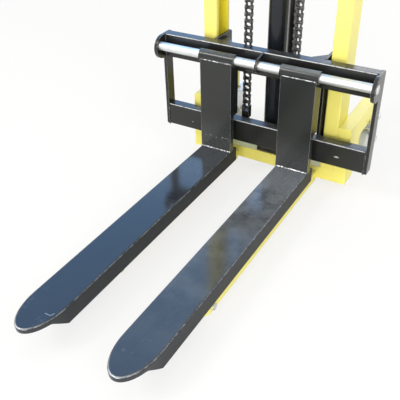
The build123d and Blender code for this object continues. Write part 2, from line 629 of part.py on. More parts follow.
def pump_parts():
    """Hand pump on a shelf behind the cylinder, with its lever, plunger, release lever and oil pipe."""
    shelf_front = MAST_FRONT + BASE_DEPTH
    pump_rear = PUMP_FRONT + PUMP_DEPTH
    half = PUMP_SHELF_WIDTH / 2
    shelf = block(-half, half, shelf_front, pump_rear, BASE_TOP - PUMP_SHELF, BASE_TOP)
    for x in (-half, half - PUMP_SHELF):
        shelf += block(x, x + PUMP_SHELF, shelf_front, pump_rear, BASE_TOP - PUMP_SHELF_LIP, BASE_TOP)
    body = block(-PUMP_WIDTH / 2, PUMP_WIDTH / 2, PUMP_FRONT, pump_rear, BASE_TOP, PUMP_TOP)
    body = fillet(body.edges().filter_by(Axis.Z), PUMP_EDGE)
    cam_y = LEVER_BACK + LEVER_CAM * math.cos(math.radians(LEVER_CAM_ANGLE))
    cam_z = LEVER_Z + LEVER_CAM * math.sin(math.radians(LEVER_CAM_ANGLE))
    eye = Pos(LEVER_BACK, LEVER_Z) * Circle(LEVER_EYE / 2)
    seat = Line((LEVER_BACK - LEVER_EYE, PUMP_TOP), (LEVER_BACK + LEVER_EYE * 0.6, PUMP_TOP))
    cheek = slab_x(CHEEK_INNER / 2, CHEEK_INNER / 2 + CHEEK, make_hull(eye.edges() + seat.edges()))
    cheek -= bar_x(0, PUMP_WIDTH, LEVER_BACK, LEVER_Z, LEVER_PIN + 2 * FIT)
    plunger_top = cam_z - CAM_ROLLER / 2 - CAM_GAP
    sleeve_top = plunger_top - PLUNGER_CAP - PLUNGER_STROKE - GAP
    body += bar_z(0, cam_y, PUMP_TOP, sleeve_top, PLUNGER_SLEEVE) + cheek + mirrored(cheek)
    plunger_bottom = BASE_TOP + PUMP_HEIGHT / 2
    body -= bar_z(0, cam_y, plunger_bottom - PLUNGER_STROKE - GAP, sleeve_top, PLUNGER + 2 * FIT)
    plunger = bar_z(0, cam_y, plunger_bottom, plunger_top, PLUNGER)
    plunger += bar_z(0, cam_y, plunger_top - PLUNGER_CAP, plunger_top, PLUNGER_HEAD)
    cap_x = PUMP_WIDTH / 2 - CAP / 2 - GAP
    cap = bar_z(-cap_x, pump_rear - CAP / 2 - GAP, PUMP_TOP, PUMP_TOP + CAP_HEIGHT, CAP)
    release_z = BASE_TOP + PUMP_HEIGHT * 0.6
    side = PUMP_WIDTH / 2
    pin_y = PUMP_FRONT + PUMP_DEPTH * 0.7
    body += bar_x(side, side + RELEASE_PLATE + GAP, pin_y, release_z, RELEASE_PIN)
    release = Pos(pin_y + RELEASE_LENGTH / 2, release_z) * SlotCenterToCenter(RELEASE_LENGTH, RELEASE_WIDTH)
    release -= Pos(pin_y, release_z) * Circle(RELEASE_PIN / 2 + FIT)
    pipe_z = BASE_TOP + FOOT_HEIGHT / 2
    pipe_front = PULLEY_Y + FOOT / 2
    pipe = bar_y(0, pipe_front, PUMP_FRONT, pipe_z, PIPE)
    pipe += bar_y(0, pipe_front, pipe_front + PIPE_NUT_LENGTH, pipe_z, PIPE_NUT)
    pipe += bar_y(0, PUMP_FRONT - PIPE_NUT_LENGTH, PUMP_FRONT, pipe_z, PIPE_NUT)
    nodes = {
        "pump_shelf": shelf,
        "pump_body": body,
        "pump_plunger": plunger,
        "pump_filler_cap": cap,
        "pump_release_lever": slab_x(side + GAP / 2, side + GAP / 2 + RELEASE_PLATE, release),
        "oil_pipe": pipe,
    }
    nodes.update(lever_parts(cam_y, cam_z))
    return nodes


def lever_parts(cam_y, cam_z):
    """Pump lever: a tube on a trunnion with a cam roller, and a loop handle on top."""
    width = CHEEK_INNER - 2 * GAP
    hub = bar_x(-width / 2, width / 2, LEVER_BACK, LEVER_Z, LEVER_EYE)
    tip = Pos(cam_y, cam_z) * Circle(LEVER_ARM / 2)
    knuckle = Pos(LEVER_BACK, LEVER_Z) * Circle(LEVER_ARM / 2)
    lever = hub + slab_x(-width / 2, width / 2, make_hull(tip.edges() + knuckle.edges()))
    lever += bar_x(-width / 2, width / 2, cam_y, cam_z, CAM_ROLLER)
    pin_half = CHEEK_INNER / 2 + CHEEK
    lever += bar_x(-pin_half, pin_half, LEVER_BACK, LEVER_Z, LEVER_PIN)
    lever += bar_z(0, LEVER_BACK, LEVER_Z, LEVER_TOP, LEVER_TUBE)
    low = LEVER_TOP + HANDLE_BLOCK
    corner = low + HANDLE_SLOPE
    top = corner + HANDLE_HEIGHT
    side = HANDLE_WIDTH / 2
    foot = HANDLE_BLOCK / 3
    y = LEVER_BACK
    path = FilletPolyline((-foot, y, low - foot), (-side, y, corner), (-side, y, top), (side, y, top),
                          (side, y, corner), (foot, y, low - foot), radius=HANDLE_BEND)
    handle = tube_along(path, HANDLE_TUBE)
    thick = HANDLE_TUBE / 2 + HANDLE_RIM
    handle += block(-HANDLE_BLOCK / 2, HANDLE_BLOCK / 2, y - thick, y + thick, LEVER_TOP, low)
    return {"pump_lever": lever, "lever_handle": handle}


def caster_parts():
    """Two swivel casters with yokes, wheels and brake pedals under the arms."""
    plate = block(SWIVEL_X - CASTER_PLATE_WIDTH / 2, SWIVEL_X + CASTER_PLATE_WIDTH / 2,
                  SWIVEL_BACK - CASTER_PLATE_LENGTH / 2, SWIVEL_BACK + CASTER_PLATE_LENGTH / 2,
                  ARM_UNDER - CASTER_PLATE, ARM_UNDER)
    plate += bar_z(SWIVEL_X, SWIVEL_BACK, RACE_BOTTOM, ARM_UNDER - CASTER_PLATE, RACE)
    crown_bottom = CROWN_TOP - YOKE_PLATE
    outer = YOKE_INNER + YOKE_PLATE
    crown_front = SWIVEL_BACK - YOKE_LENGTH / 2
    crown_rear = crown_front + YOKE_LENGTH
    yoke = block(SWIVEL_X - outer, SWIVEL_X + outer, crown_front, crown_rear, crown_bottom, CROWN_TOP)
    eye = Pos(AXLE_Y, AXLE_Z) * Circle(YOKE_EYE / 2)
    rim = Line((crown_front, CROWN_TOP), (crown_rear, CROWN_TOP))
    ear = Pos(BRAKE_Y, BRAKE_Z) * Circle(BRAKE_EYE / 2)
    leg = make_hull(eye.edges() + rim.edges()) + make_hull(ear.edges() + rim.edges())
    leg -= Pos(BRAKE_Y, BRAKE_Z) * Circle(BRAKE_PIN / 2 + FIT)
    for x in (SWIVEL_X - outer, SWIVEL_X + YOKE_INNER):
        yoke += slab_x(x, x + YOKE_PLATE, leg)
    yoke += bar_x(SWIVEL_X - outer - AXLE_HEAD_LENGTH, SWIVEL_X + outer + AXLE_HEAD_LENGTH, AXLE_Y, AXLE_Z,
                  CASTER_AXLE)
    for x in (SWIVEL_X - outer - AXLE_HEAD_LENGTH, SWIVEL_X + outer):
        yoke += bar_x(x, x + AXLE_HEAD_LENGTH, AXLE_Y, AXLE_Z, AXLE_HEAD)
    hub, web, wide = HUB_WIDTH / 2 - HUB_PLAY, RIM_WEB / 2, WHEEL_WIDTH / 2
    tread = WHEEL / 2
    right = [(hub, CASTER_AXLE / 2 + FIT), (hub, HUB / 2), (web, HUB / 2 + HUB_FLARE),
             (web, RIM_INNER / 2 - RIM_FLARE), (wide, RIM_INNER / 2), (wide, tread - WHEEL_EDGE),
             (wide - WHEEL_EDGE / 2, tread - WHEEL_CROWN), (wide - WHEEL_EDGE, tread)]
    wheel = turned_x(SWIVEL_X, AXLE_Y, AXLE_Z, right + [(-x, r) for x, r in reversed(right)])
    pedal = brake_pedal()
    return {
        "caster_plates": both(plate),
        "caster_yoke_right": yoke,
        "caster_yoke_left": mirrored(yoke),
        "caster_wheel_right": wheel,
        "caster_wheel_left": mirrored(wheel),
        "caster_brake_right": pedal,
        "caster_brake_left": mirrored(pedal),
    }


def brake_pedal():
    """Pedal on a pin between the yoke's ears, above the rear of the wheel."""
    inner = YOKE_INNER - HUB_PLAY
    outer = YOKE_INNER + YOKE_PLATE + BRAKE_STUB
    pedal = bar_x(SWIVEL_X - inner, SWIVEL_X + inner, BRAKE_Y, BRAKE_Z, BRAKE_EYE)
    pedal += bar_x(SWIVEL_X - outer, SWIVEL_X + outer, BRAKE_Y, BRAKE_Z, BRAKE_PIN)
    pedal += block(SWIVEL_X - inner, SWIVEL_X + inner, BRAKE_Y, BRAKE_Y + BRAKE_LENGTH,
                   BRAKE_Z + BRAKE_EYE / 2 - BRAKE_PLATE, BRAKE_Z + BRAKE_EYE / 2)
    return pedal


def build():
    """All pieces by node name, in the truck's own frame."""
    nodes = {}
    for section in (carriage_parts, roller_parts, fork_parts, mast_parts, base_parts, chain_parts,
                    lift_parts, pump_parts, caster_parts):
        nodes.update(section())
    return nodes


os.makedirs("parts", exist_ok=True)
for node, shape in build().items():
    export_step(Pos(0, SHIFT_Y, 0) * shape, "parts/" + node + ".step")
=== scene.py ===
"""Hand-operated stacker truck: finishes, small details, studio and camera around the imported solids."""

import json
import logging
import math
from dataclasses import dataclass
from enum import Enum
from functools import cached_property
from typing import Callable, ClassVar, Iterator, NamedTuple, Optional, Sequence, Union

import bpy
from mathutils import Matrix, Vector


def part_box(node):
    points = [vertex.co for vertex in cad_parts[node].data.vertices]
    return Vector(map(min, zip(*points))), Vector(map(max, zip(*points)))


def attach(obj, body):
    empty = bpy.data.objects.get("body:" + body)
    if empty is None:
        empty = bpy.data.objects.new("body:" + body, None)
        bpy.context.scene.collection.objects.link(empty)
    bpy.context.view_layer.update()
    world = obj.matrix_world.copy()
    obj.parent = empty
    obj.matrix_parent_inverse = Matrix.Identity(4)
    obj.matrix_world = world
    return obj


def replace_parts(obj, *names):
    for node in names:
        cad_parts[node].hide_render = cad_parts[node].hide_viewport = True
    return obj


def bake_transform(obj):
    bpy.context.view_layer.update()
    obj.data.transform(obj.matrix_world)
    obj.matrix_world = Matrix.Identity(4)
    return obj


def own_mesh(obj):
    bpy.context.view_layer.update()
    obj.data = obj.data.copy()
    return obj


Colour = tuple[float, float, float, float]
Point = tuple[float, float, float]
Pair = tuple[float, float]
Rings = tuple[Pair, ...]
Box = tuple[Vector, Vector]

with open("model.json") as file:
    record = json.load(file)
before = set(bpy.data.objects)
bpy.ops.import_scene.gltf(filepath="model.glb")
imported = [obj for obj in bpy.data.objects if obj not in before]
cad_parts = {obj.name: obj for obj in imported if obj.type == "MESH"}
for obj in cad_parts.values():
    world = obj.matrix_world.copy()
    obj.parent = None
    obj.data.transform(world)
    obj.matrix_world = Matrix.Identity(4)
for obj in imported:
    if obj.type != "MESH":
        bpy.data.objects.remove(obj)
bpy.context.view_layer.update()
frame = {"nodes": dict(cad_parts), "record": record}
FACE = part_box("carriage_upper_beam")[0].y
FORK_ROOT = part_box("fork_right_upright")[0].y
FORK_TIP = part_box("fork_right_blade")[0].y
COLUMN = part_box("mast_column_right")
LOG = logging.getLogger("stacker")


def rgb(red: float, green: float, blue: float) -> Colour:
    """Colour with full cover, in linear values."""
    return (red, green, blue, 1.0)


class Hex(NamedTuple):
    """Hexagon head: size over the flats, height, and radius of its washer."""

    across: float
    height: float
    washer: float


class Side(Enum):
    """Left and right of the truck, seen from the forks."""

    LEFT = -1
    RIGHT = 1

    @property
    def word(self) -> str:
        """The side as node names write it."""
        return self.name.lower()


class Sock:
    """One shader output that takes part in Python arithmetic."""

    def __init__(self, graph: "Graph", socket: bpy.types.NodeSocket) -> None:
        """Wrap a socket of a graph."""
        self.graph = graph
        self.socket = socket

    def _math(self, operation: str, first: "Value", second: "Value") -> "Sock":
        """Output of one Math node."""
        return self.graph.node("ShaderNodeMath", {0: first, 1: second}, operation=operation)

    def __add__(self, other: "Value") -> "Sock":
        """Sum."""
        return self._math("ADD", self, other)

    __radd__ = __add__

    def __mul__(self, other: "Value") -> "Sock":
        """Product."""
        return self._math("MULTIPLY", self, other)

    __rmul__ = __mul__

    def __sub__(self, other: "Value") -> "Sock":
        """Difference."""
        return self._math("SUBTRACT", self, other)

    def __rsub__(self, other: "Value") -> "Sock":
        """Difference from a value on the left."""
        return self._math("SUBTRACT", other, self)

    def most(self, other: "Value") -> "Sock":
        """The larger of two values."""
        return self._math("MAXIMUM", self, other)

    def rise(self, low: float, high: float) -> "Sock":
        """Smooth step from 0 at low to 1 at high."""
        sockets = {"Value": self, "From Min": low, "From Max": high}
        return self.graph.node("ShaderNodeMapRange", sockets, interpolation_type="SMOOTHSTEP", clamp=True)

    def fall(self, low: float, high: float) -> "Sock":
        """Smooth step from 1 at low to 0 at high."""
        return 1 - self.rise(low, high)

    def band(self, start: Pair, end: Pair) -> "Sock":
        """1 between a smooth rise and a smooth fall."""
        return self.rise(*start) * self.fall(*end)

    def near_zero(self, full: float, none: float) -> "Sock":
        """1 up to a distance from zero, 0 from another one on."""
        return (self * self).fall(full ** 2, none ** 2)


Value = Union[float, Colour, Point, Sock]


class Graph:
    """Node tree of a material or of the world."""

    def __init__(self, owner: Union[bpy.types.Material, bpy.types.World]) -> None:
        """Start an empty tree.

        Args:
            owner: New material or world.
        """
        owner.use_nodes = True
        self.owner = owner
        self.tree = owner.node_tree
        self.tree.nodes.clear()

    @classmethod
    def of_material(cls, name: str) -> "Graph":
        """Graph of a new material."""
        return cls(bpy.data.materials.new(name))

    def add(self, kind: str, sockets: dict, **settings: Union[str, int, bool]) -> bpy.types.Node:
        """Add a node.

        Args:
            kind: Node type.
            sockets: Values or links by input name or number.
            settings: Properties of the node, set before the sockets.

        Returns:
            The node.
        """
        made = self.tree.nodes.new(kind)
        for name, value in settings.items():
            setattr(made, name, value)
        for key, value in sockets.items():
            if isinstance(value, Sock):
                self.tree.links.new(value.socket, made.inputs[key])
            else:
                made.inputs[key].default_value = value
        return made

    def node(self, kind: str, sockets: dict, out: Union[int, str] = 0,
             **settings: Union[str, int, bool]) -> Sock:
        """One output of a new node, by name or number."""
        return Sock(self, self.add(kind, sockets, **settings).outputs[out])

    def close(self, shader: Sock, kind: str = "ShaderNodeOutputMaterial") -> None:
        """Link the shader to the tree's output."""
        self.add(kind, {"Surface": shader})

    def finish(self, sockets: dict) -> bpy.types.Material:
        """Close the tree with a Principled shader."""
        self.close(self.node("ShaderNodeBsdfPrincipled", sockets))
        return self.owner

    @cached_property
    def at(self) -> Sock:
        """Object coordinates."""
        return self.node("ShaderNodeTexCoord", {}, "Object")

    def split(self, vector: Sock, letter: str) -> Sock:
        """One component of a vector."""
        return self.node("ShaderNodeSeparateXYZ", {0: vector}, letter)

    def along(self, letter: str) -> Sock:
        """One object coordinate."""
        return self.split(self.at, letter)

    def noise(self, scale: float, detail: float = 2.0, rough: float = 0.5, at: Optional[Sock] = None) -> Sock:
        """Noise between 0 and 1, with cells per metre, octaves and the weight of the finer ones."""
        sockets = {"Vector": at or self.at, "Scale": scale, "Detail": detail, "Roughness": rough}
        return self.node("ShaderNodeTexNoise", sockets)

    def streaks(self, stretch: Point, turn: float = 0.0, detail: float = 3.0, rough: float = 0.7) -> Sock:
        """Noise with its own cells per metre along each axis, turned about Z in radians."""
        at = self.node("ShaderNodeMapping", {"Vector": self.at, "Scale": stretch, "Rotation": (0, 0, turn)})
        return self.noise(1.0, detail, rough, at)

    def cells(self, scale: float) -> tuple[Sock, Sock]:
        """Scattered spots.

        Args:
            scale: Spots per metre.

        Returns:
            The distance to the nearest spot, in cells, and a random value of that spot.
        """
        sockets = {"Vector": self.at, "Scale": scale, "Randomness": 1.0}
        near = self.node("ShaderNodeTexVoronoi", sockets, "Distance", feature="F1")
        tint = self.node("ShaderNodeTexVoronoi", sockets, "Color", feature="F1")
        return near, self.split(tint, "X")

    def mix(self, factor: Value, first: Value, second: Value) -> Sock:
        """Blend of two colours by the share of the second."""
        return self.node("ShaderNodeMix", {0: factor, 6: first, 7: second}, 2, data_type="RGBA")

    def normal(self, kind: str = "Normal") -> Sock:
        """Normal of the surface, smooth or, as True Normal, flat."""
        return self.node("ShaderNodeNewGeometry", {}, kind)

    def rounded(self, radius: float) -> Sock:
        """Normal that rounds the edges over a radius."""
        return self.node("ShaderNodeBevel", {"Radius": radius}, samples=6)

    def rim(self, bent: Sock) -> Sock:
        """Mask of the edges that a rounded normal bends, about 0.3 on a square one."""
        both = {0: bent, 1: self.normal()}
        return 1 - self.node("ShaderNodeVectorMath", both, "Value", operation="DOT_PRODUCT")

    @cached_property
    def level(self) -> Sock:
        """1 on level faces that look up, 0 on upright ones."""
        return self.split(self.normal("True Normal"), "Z").rise(0.6, 0.9)

    def ridge(self, top: float = 0.94) -> Sock:
        """1 on the slope of rounded level edges, up to a top value of the normal's Z."""
        return self.split(self.normal(), "Z").band((0.42, 0.56), (top - 0.10, top))

    def bump(self, height: Sock, normal: Sock, strength: float, distance: float) -> Sock:
        """Normal roughened by a height, whose 1 stands for a distance."""
        sockets = {"Strength": strength, "Distance": distance, "Height": height, "Normal": normal}
        return self.node("ShaderNodeBump", sockets)


@dataclass(frozen=True)
class Enamel:
    """Gloss paint on steel, lighter on edges for wear and, on the black enamels, painted highlight, with
    chips, and dust and scratches on what lies level.
    """

    name: str
    colour: Colour
    shade: Colour
    edge: Colour
    dust: Colour
    roughness: float
    edge_cover: float
    dust_cover: float
    shine: float = 0.5
    dulling: float = 0.45
    ridge_cover: float = 0.0
    ridge_break: Pair = (0.40, 0.62)
    side_rough: float = 0.0
    round_edge: ClassVar[float] = 0.0022
    chip_cover: ClassVar[float] = 0.4
    cloud_scale: ClassVar[float] = 5.0
    patch_scale: ClassVar[float] = 38.0
    peel_scale: ClassVar[float] = 520.0
    peel_depth: ClassVar[float] = 0.0005

    def film(self, g: Graph, cloud: Sock, patch: Sock) -> Sock:
        """Share of dust and scratches over the paint, from the broad and the fine noise."""
        scratch = g.streaks((160.0, 9.0, 160.0), 0.5).rise(0.66, 0.74) * patch.rise(0.5, 0.62)
        return g.level * (cloud.rise(0.35, 0.75) * 0.5 + scratch * 0.8) * self.dust_cover

    def chips(self, g: Graph) -> Sock:
        """Mask of a few small chips."""
        near, lot = g.cells(26.0)
        return lot.rise(0.965, 0.97) * (near + g.noise(240.0) * 0.10).fall(0.13, 0.15)

    def wear(self, g: Graph, rim: Sock, patch: Sock) -> Sock:
        """Share of bare metal on sharp edges, and in dashed lines on rounded level ones; on the black enamels
        both are wear and painted highlight together.

        Args:
            g: Graph of the material.
            rim: Mask of the sharp edges.
            patch: Fine noise.

        Returns:
            The share, from 0 to 1.
        """
        # Sharp edges and dashed lines on rounded edges: wear, and on the black enamels also painted
        # highlight.
        sharp = (rim + patch * 0.16 - 0.12).rise(0.04, 0.2) * self.edge_cover
        ridge_wear_and_glint = g.noise(95.0, 4.0, 0.75).rise(*self.ridge_break) * self.ridge_cover
        return sharp + g.ridge() * ridge_wear_and_glint

    def ground(self, g: Graph, cloud: Sock) -> Sock:
        """Colour of the clean paint."""
        return g.mix(cloud, self.colour, self.shade)

    def satin(self, g: Graph) -> Sock:
        """Roughness added on upright faces."""
        return (1 - g.level) * self.side_rough

    def make(self) -> bpy.types.Material:
        """Build the material.

        Returns:
            The material.
        """
        g = Graph.of_material(self.name)
        cloud = g.noise(self.cloud_scale, 3.0, 0.6)
        patch = g.noise(self.patch_scale, 4.0, 0.65)
        peel = g.noise(self.peel_scale, 1.0)
        normal = g.rounded(self.round_edge)
        film = self.film(g, cloud, patch)
        dusty = g.mix(film, self.ground(g, cloud), self.dust)
        chipped = g.mix(self.chips(g) * self.chip_cover, dusty, self.edge)
        painted = g.mix(self.wear(g, g.rim(normal), patch), chipped, self.edge)
        gloss = patch * 0.08 + film * self.dulling + self.satin(g) + (self.roughness - 0.04)
        skin = g.bump(peel + patch * 0.6, normal, strength=0.08, distance=self.peel_depth)
        return g.finish({"Base Color": painted, "Roughness": gloss, "Normal": skin,
                         "Specular IOR Level": self.shine})


@dataclass(frozen=True)
class ChannelEnamel(Enamel):
    """Enamel of the mast channels, with painted shade: a deeper, more golden colour inside them."""

    recess_shade: Colour = rgb(0.94, 0.83, 0.06)
    lip: float = 0.010
    blur: float = 0.002
    wall: Pair = (0.004, 0.001)

    def ground(self, g: Graph, cloud: Sock) -> Sock:
        """Colour of the clean paint outside the channel, with painted shade inside it.

        Args:
            g: Graph of the material.
            cloud: Broad noise.

        Returns:
            The colour.
        """
        low, high = COLUMN
        off = g.along("Y") - (low.y + high.y) / 2
        half = (high.y - low.y) / 2 - self.lip
        inner, outer = (high.x - depth for depth in self.wall)
        inside = off.near_zero(half - self.blur, half + self.blur) * g.along("X").near_zero(inner, outer)
        # Painted shade: the inside of the channel takes the deeper colour.
        return g.mix(inside, super().ground(g, cloud), self.recess_shade)


@dataclass(frozen=True)
class BeamEnamel(Enamel):
    """Enamel of the carriage beams, with two larger chips in the front of the lower one.

    A chip is its middle and its half size, in X and Z.
    """

    nicks: tuple[tuple[Pair, Pair], ...] = (((0.2395, 0.1410), (0.0090, 0.0030)),
                                            ((-0.2338, 0.1347), (0.0020, 0.0020)))

    def chips(self, g: Graph) -> Sock:
        """Mask of the small chips and the larger ones.

        Args:
            g: Graph of the material.

        Returns:
            The mask.
        """
        mask = super().chips(g)
        ragged = g.noise(320.0, 3.0, 0.7) * 2.4
        front = g.along("Y").fall(FACE + 0.001, FACE + 0.004)
        for (x, z), (wide, high) in self.nicks:
            off = (g.along("X") - x) * (1 / wide)
            up = (g.along("Z") - z) * (1 / high)
            mask = mask + (off * off + up * up + ragged).fall(1.1, 2.2) * front * 2
        return mask


@dataclass(frozen=True)
class ForkEnamel(Enamel):
    """Enamel of the forks: dusty by the uprights, with a painted highlight round the noses.

    A score is the two ends of a scratch in plan, with Y counted from the scratches' own place.
    """

    root: float = FORK_ROOT
    tip: float = FORK_TIP
    blade_top: float = 0.090
    scores: tuple[tuple[Pair, Pair], ...] = (((-0.1060, 0.0), (-0.0896, 0.0)),
                                             ((-0.0896, 0.0), (-0.0862, 0.0100)))
    score_at: float = FACE - 0.8294
    score_edge: Pair = (0.0003, 0.0013)

    def film(self, g: Graph, cloud: Sock, patch: Sock) -> Sock:
        """Share of dust, more by the root of the right fork, and of scuffs at the tips, with a haze over the
        right blade that is dust and painted sky reflection together.

        Args:
            g: Graph of the material.
            cloud: Broad noise.
            patch: Fine noise.

        Returns:
            The share, from 0 to 1.
        """
        y = g.along("Y")
        grit = g.noise(170.0, 4.0, 0.7)
        right = g.along("X").rise(-0.05, 0.05)
        either = right * 0.6 + 0.4
        wiped = right * 0.6 * y.fall(self.root - 0.17, self.root - 0.07) * patch.fall(0.38, 0.60)
        near_root = y.rise(self.root - 0.42, self.root - 0.02) * either * (grit * 0.7 + patch * 0.3)
        near_tip = y.fall(self.tip + 0.02, self.tip + 0.16) * patch.rise(0.60, 0.68) * grit
        middle = y.band((self.tip - 0.1, self.tip + 0.5), (self.root - 0.14, self.root))
        mottle = g.noise(11.0, 4.0, 0.6).rise(0.36, 0.66)
        # Haze over the right blade, lighter across its middle: dust with a painted sky reflection.
        haze_and_sky_sheen = right * (middle * (mottle * 0.24 + 0.10) + 0.06)
        lines = self.scratches(g, cloud, patch) * (either * 0.3)
        spread = near_root * (1 - wiped) * 1.3 + near_tip * 0.4 + lines + haze_and_sky_sheen
        foot = g.along("Z").band((self.blade_top - 0.002, self.blade_top + 0.004), (0.10, 0.22))
        return (g.level * spread + foot * (1 - g.level) * grit * 0.3) * self.dust_cover

    def scratches(self, g: Graph, cloud: Sock, patch: Sock) -> Sock:
        """Mask of fine scratches along and across the blades.

        Args:
            g: Graph of the material.
            cloud: Broad noise.
            patch: Fine noise.

        Returns:
            The mask.
        """
        long = g.streaks((420.0, 7.0, 420.0), 0.06)
        cross = g.streaks((30.0, 330.0, 330.0), 0.35)
        return long.rise(0.64, 0.72) * cloud.rise(0.4, 0.6) + cross.rise(0.70, 0.76) * patch.rise(0.45, 0.6)

    def satin(self, g: Graph) -> Sock:
        """Roughness added on upright faces, less round the noses."""
        return super().satin(g) * g.along("Y").rise(self.tip + 0.02, self.tip + 0.10)

    def wear(self, g: Graph, rim: Sock, patch: Sock) -> Sock:
        """Share of bare metal, with a painted highlight round the fronts of the noses, and the scratches.

        Args:
            g: Graph of the material.
            rim: Mask of the sharp edges.
            patch: Fine noise.

        Returns:
            The share, from 0 to 1.
        """
        # Painted highlight: a bright band on the rounded front edges of the noses, on faces turned forward
        # and a little left.
        nose_highlight = g.along("Y").fall(self.tip + 0.005, self.tip + 0.06)
        front = g.split(g.normal(), "X").band((-0.60, -0.28), (0.05, 0.65))
        wear_and_highlight = super().wear(g, rim, patch) + g.ridge(0.99) * nose_highlight * front * 0.75
        for start, end in self.scores:
            wear_and_highlight = wear_and_highlight + self.score(g, start, end) * g.level * (patch * 0.7 + 0.25)
        return wear_and_highlight

    def score(self, g: Graph, start: Pair, end: Pair) -> Sock:
        """Mask of a straight scratch in the top of the left blade.

        Args:
            g: Graph of the material.
            start: First end, in plan.
            end: Other end, in plan.

        Returns:
            The mask, from 0 to 1.
        """
        way = Vector(end) - Vector(start)
        x, y = way.normalized()
        across = g.along("X") - (start[0] + end[0]) / 2
        along = g.along("Y") - (start[1] + end[1]) / 2 - self.score_at
        run = across * x + along * y
        off = along * x - across * y
        reach = way.length / 2
        return run.near_zero(reach * 0.8, reach) * off.near_zero(*self.score_edge)

    def chips(self, g: Graph) -> Sock:
        """Mask of a row of weld spatter above the foot of the left upright.

        Args:
            g: Graph of the material.

        Returns:
            The mask.
        """
        near, lot = g.cells(190.0)
        left = g.along("X").fall(-0.085, -0.075)
        row = g.along("Z").band((0.127, 0.130), (0.135, 0.138))
        return lot.rise(0.40, 0.42) * row * left * near.fall(0.18, 0.34) * 2.0


@dataclass(frozen=True)
class PlatedSteel:
    """Bright zinc or chrome with turning marks and a little tarnish."""

    name: str
    colour: Colour
    tarnish: Colour
    roughness: float
    grain: Point
    spots: float = 22.0
    spread: Pair = (0.42, 0.72)
    round_edge: ClassVar[float] = 0.0012
    grain_depth: ClassVar[float] = 0.0003

    def make(self) -> bpy.types.Material:
        """Build the material.

        Returns:
            The material.
        """
        g = Graph.of_material(self.name)
        cloud = g.noise(self.spots, 4.0, 0.6)
        grain = g.streaks(self.grain, detail=2.0, rough=0.6)
        tone = g.mix(cloud.rise(*self.spread) * 0.8, self.colour, self.tarnish)
        rough = grain * 0.16 + cloud * 0.12 + self.roughness - 0.1
        skin = g.bump(grain, g.rounded(self.round_edge), strength=0.10, distance=self.grain_depth)
        return g.finish({"Base Color": tone, "Roughness": rough, "Metallic": 1.0, "Normal": skin})


@dataclass(frozen=True)
class OiledSteel:
    """Dark oiled steel, bright where it rubs."""

    name: str
    dark: Colour
    bright: Colour
    smear_scale: ClassVar[float] = 90.0
    smear_depth: ClassVar[float] = 0.0004
    round_edge: ClassVar[float] = 0.0009

    def make(self) -> bpy.types.Material:
        """Build the material.

        Returns:
            The material.
        """
        g = Graph.of_material(self.name)
        smear = g.noise(self.smear_scale, 3.0, 0.6)
        normal = g.rounded(self.round_edge)
        rubbed = (g.rim(normal) + smear * 0.1 - 0.06).rise(0.02, 0.16)
        tone = g.mix(rubbed, self.dark, self.bright)
        skin = g.bump(smear, normal, strength=0.15, distance=self.smear_depth)
        rough = smear * 0.25 + 0.26
        return g.finish({"Base Color": tone, "Roughness": rough, "Metallic": 0.9, "Normal": skin})


@dataclass(frozen=True)
class Moulded:
    """Cast nylon, rubber or hard plastic with fine grain and scuffs."""

    name: str
    colour: Colour
    scuff: Colour
    roughness: float
    grain: float
    depth: float
    cloud_scale: ClassVar[float] = 30.0
    round_edge: ClassVar[float] = 0.0015

    def make(self) -> bpy.types.Material:
        """Build the material.

        Returns:
            The material.
        """
        g = Graph.of_material(self.name)
        cloud = g.noise(self.cloud_scale, 4.0, 0.6)
        grain = g.noise(self.grain, 2.0, 0.55)
        normal = g.rounded(self.round_edge)
        mark = (g.rim(normal) * 1.5 + cloud * 0.5 - 0.25).rise(0.05, 0.35) * 0.55
        tone = g.mix(mark, self.colour, self.scuff)
        rough = cloud * 0.15 + grain * 0.08 + self.roughness - 0.1
        skin = g.bump(grain + cloud * 0.5, normal, strength=0.25, distance=self.depth)
        return g.finish({"Base Color": tone, "Roughness": rough, "Normal": skin})


YELLOW_COAT = {"colour": rgb(0.93, 0.85, 0.21), "shade": rgb(0.90, 0.80, 0.17),
               "edge": rgb(0.96, 0.93, 0.55), "dust": rgb(0.90, 0.84, 0.38),
               "roughness": 0.32, "edge_cover": 0.35, "dust_cover": 0.20}
BLACK_COAT = {"colour": rgb(0.012, 0.013, 0.013), "shade": rgb(0.020, 0.020, 0.019),
              "dust": rgb(0.18, 0.19, 0.20), "roughness": 0.20, "edge_cover": 0.75, "shine": 0.42}


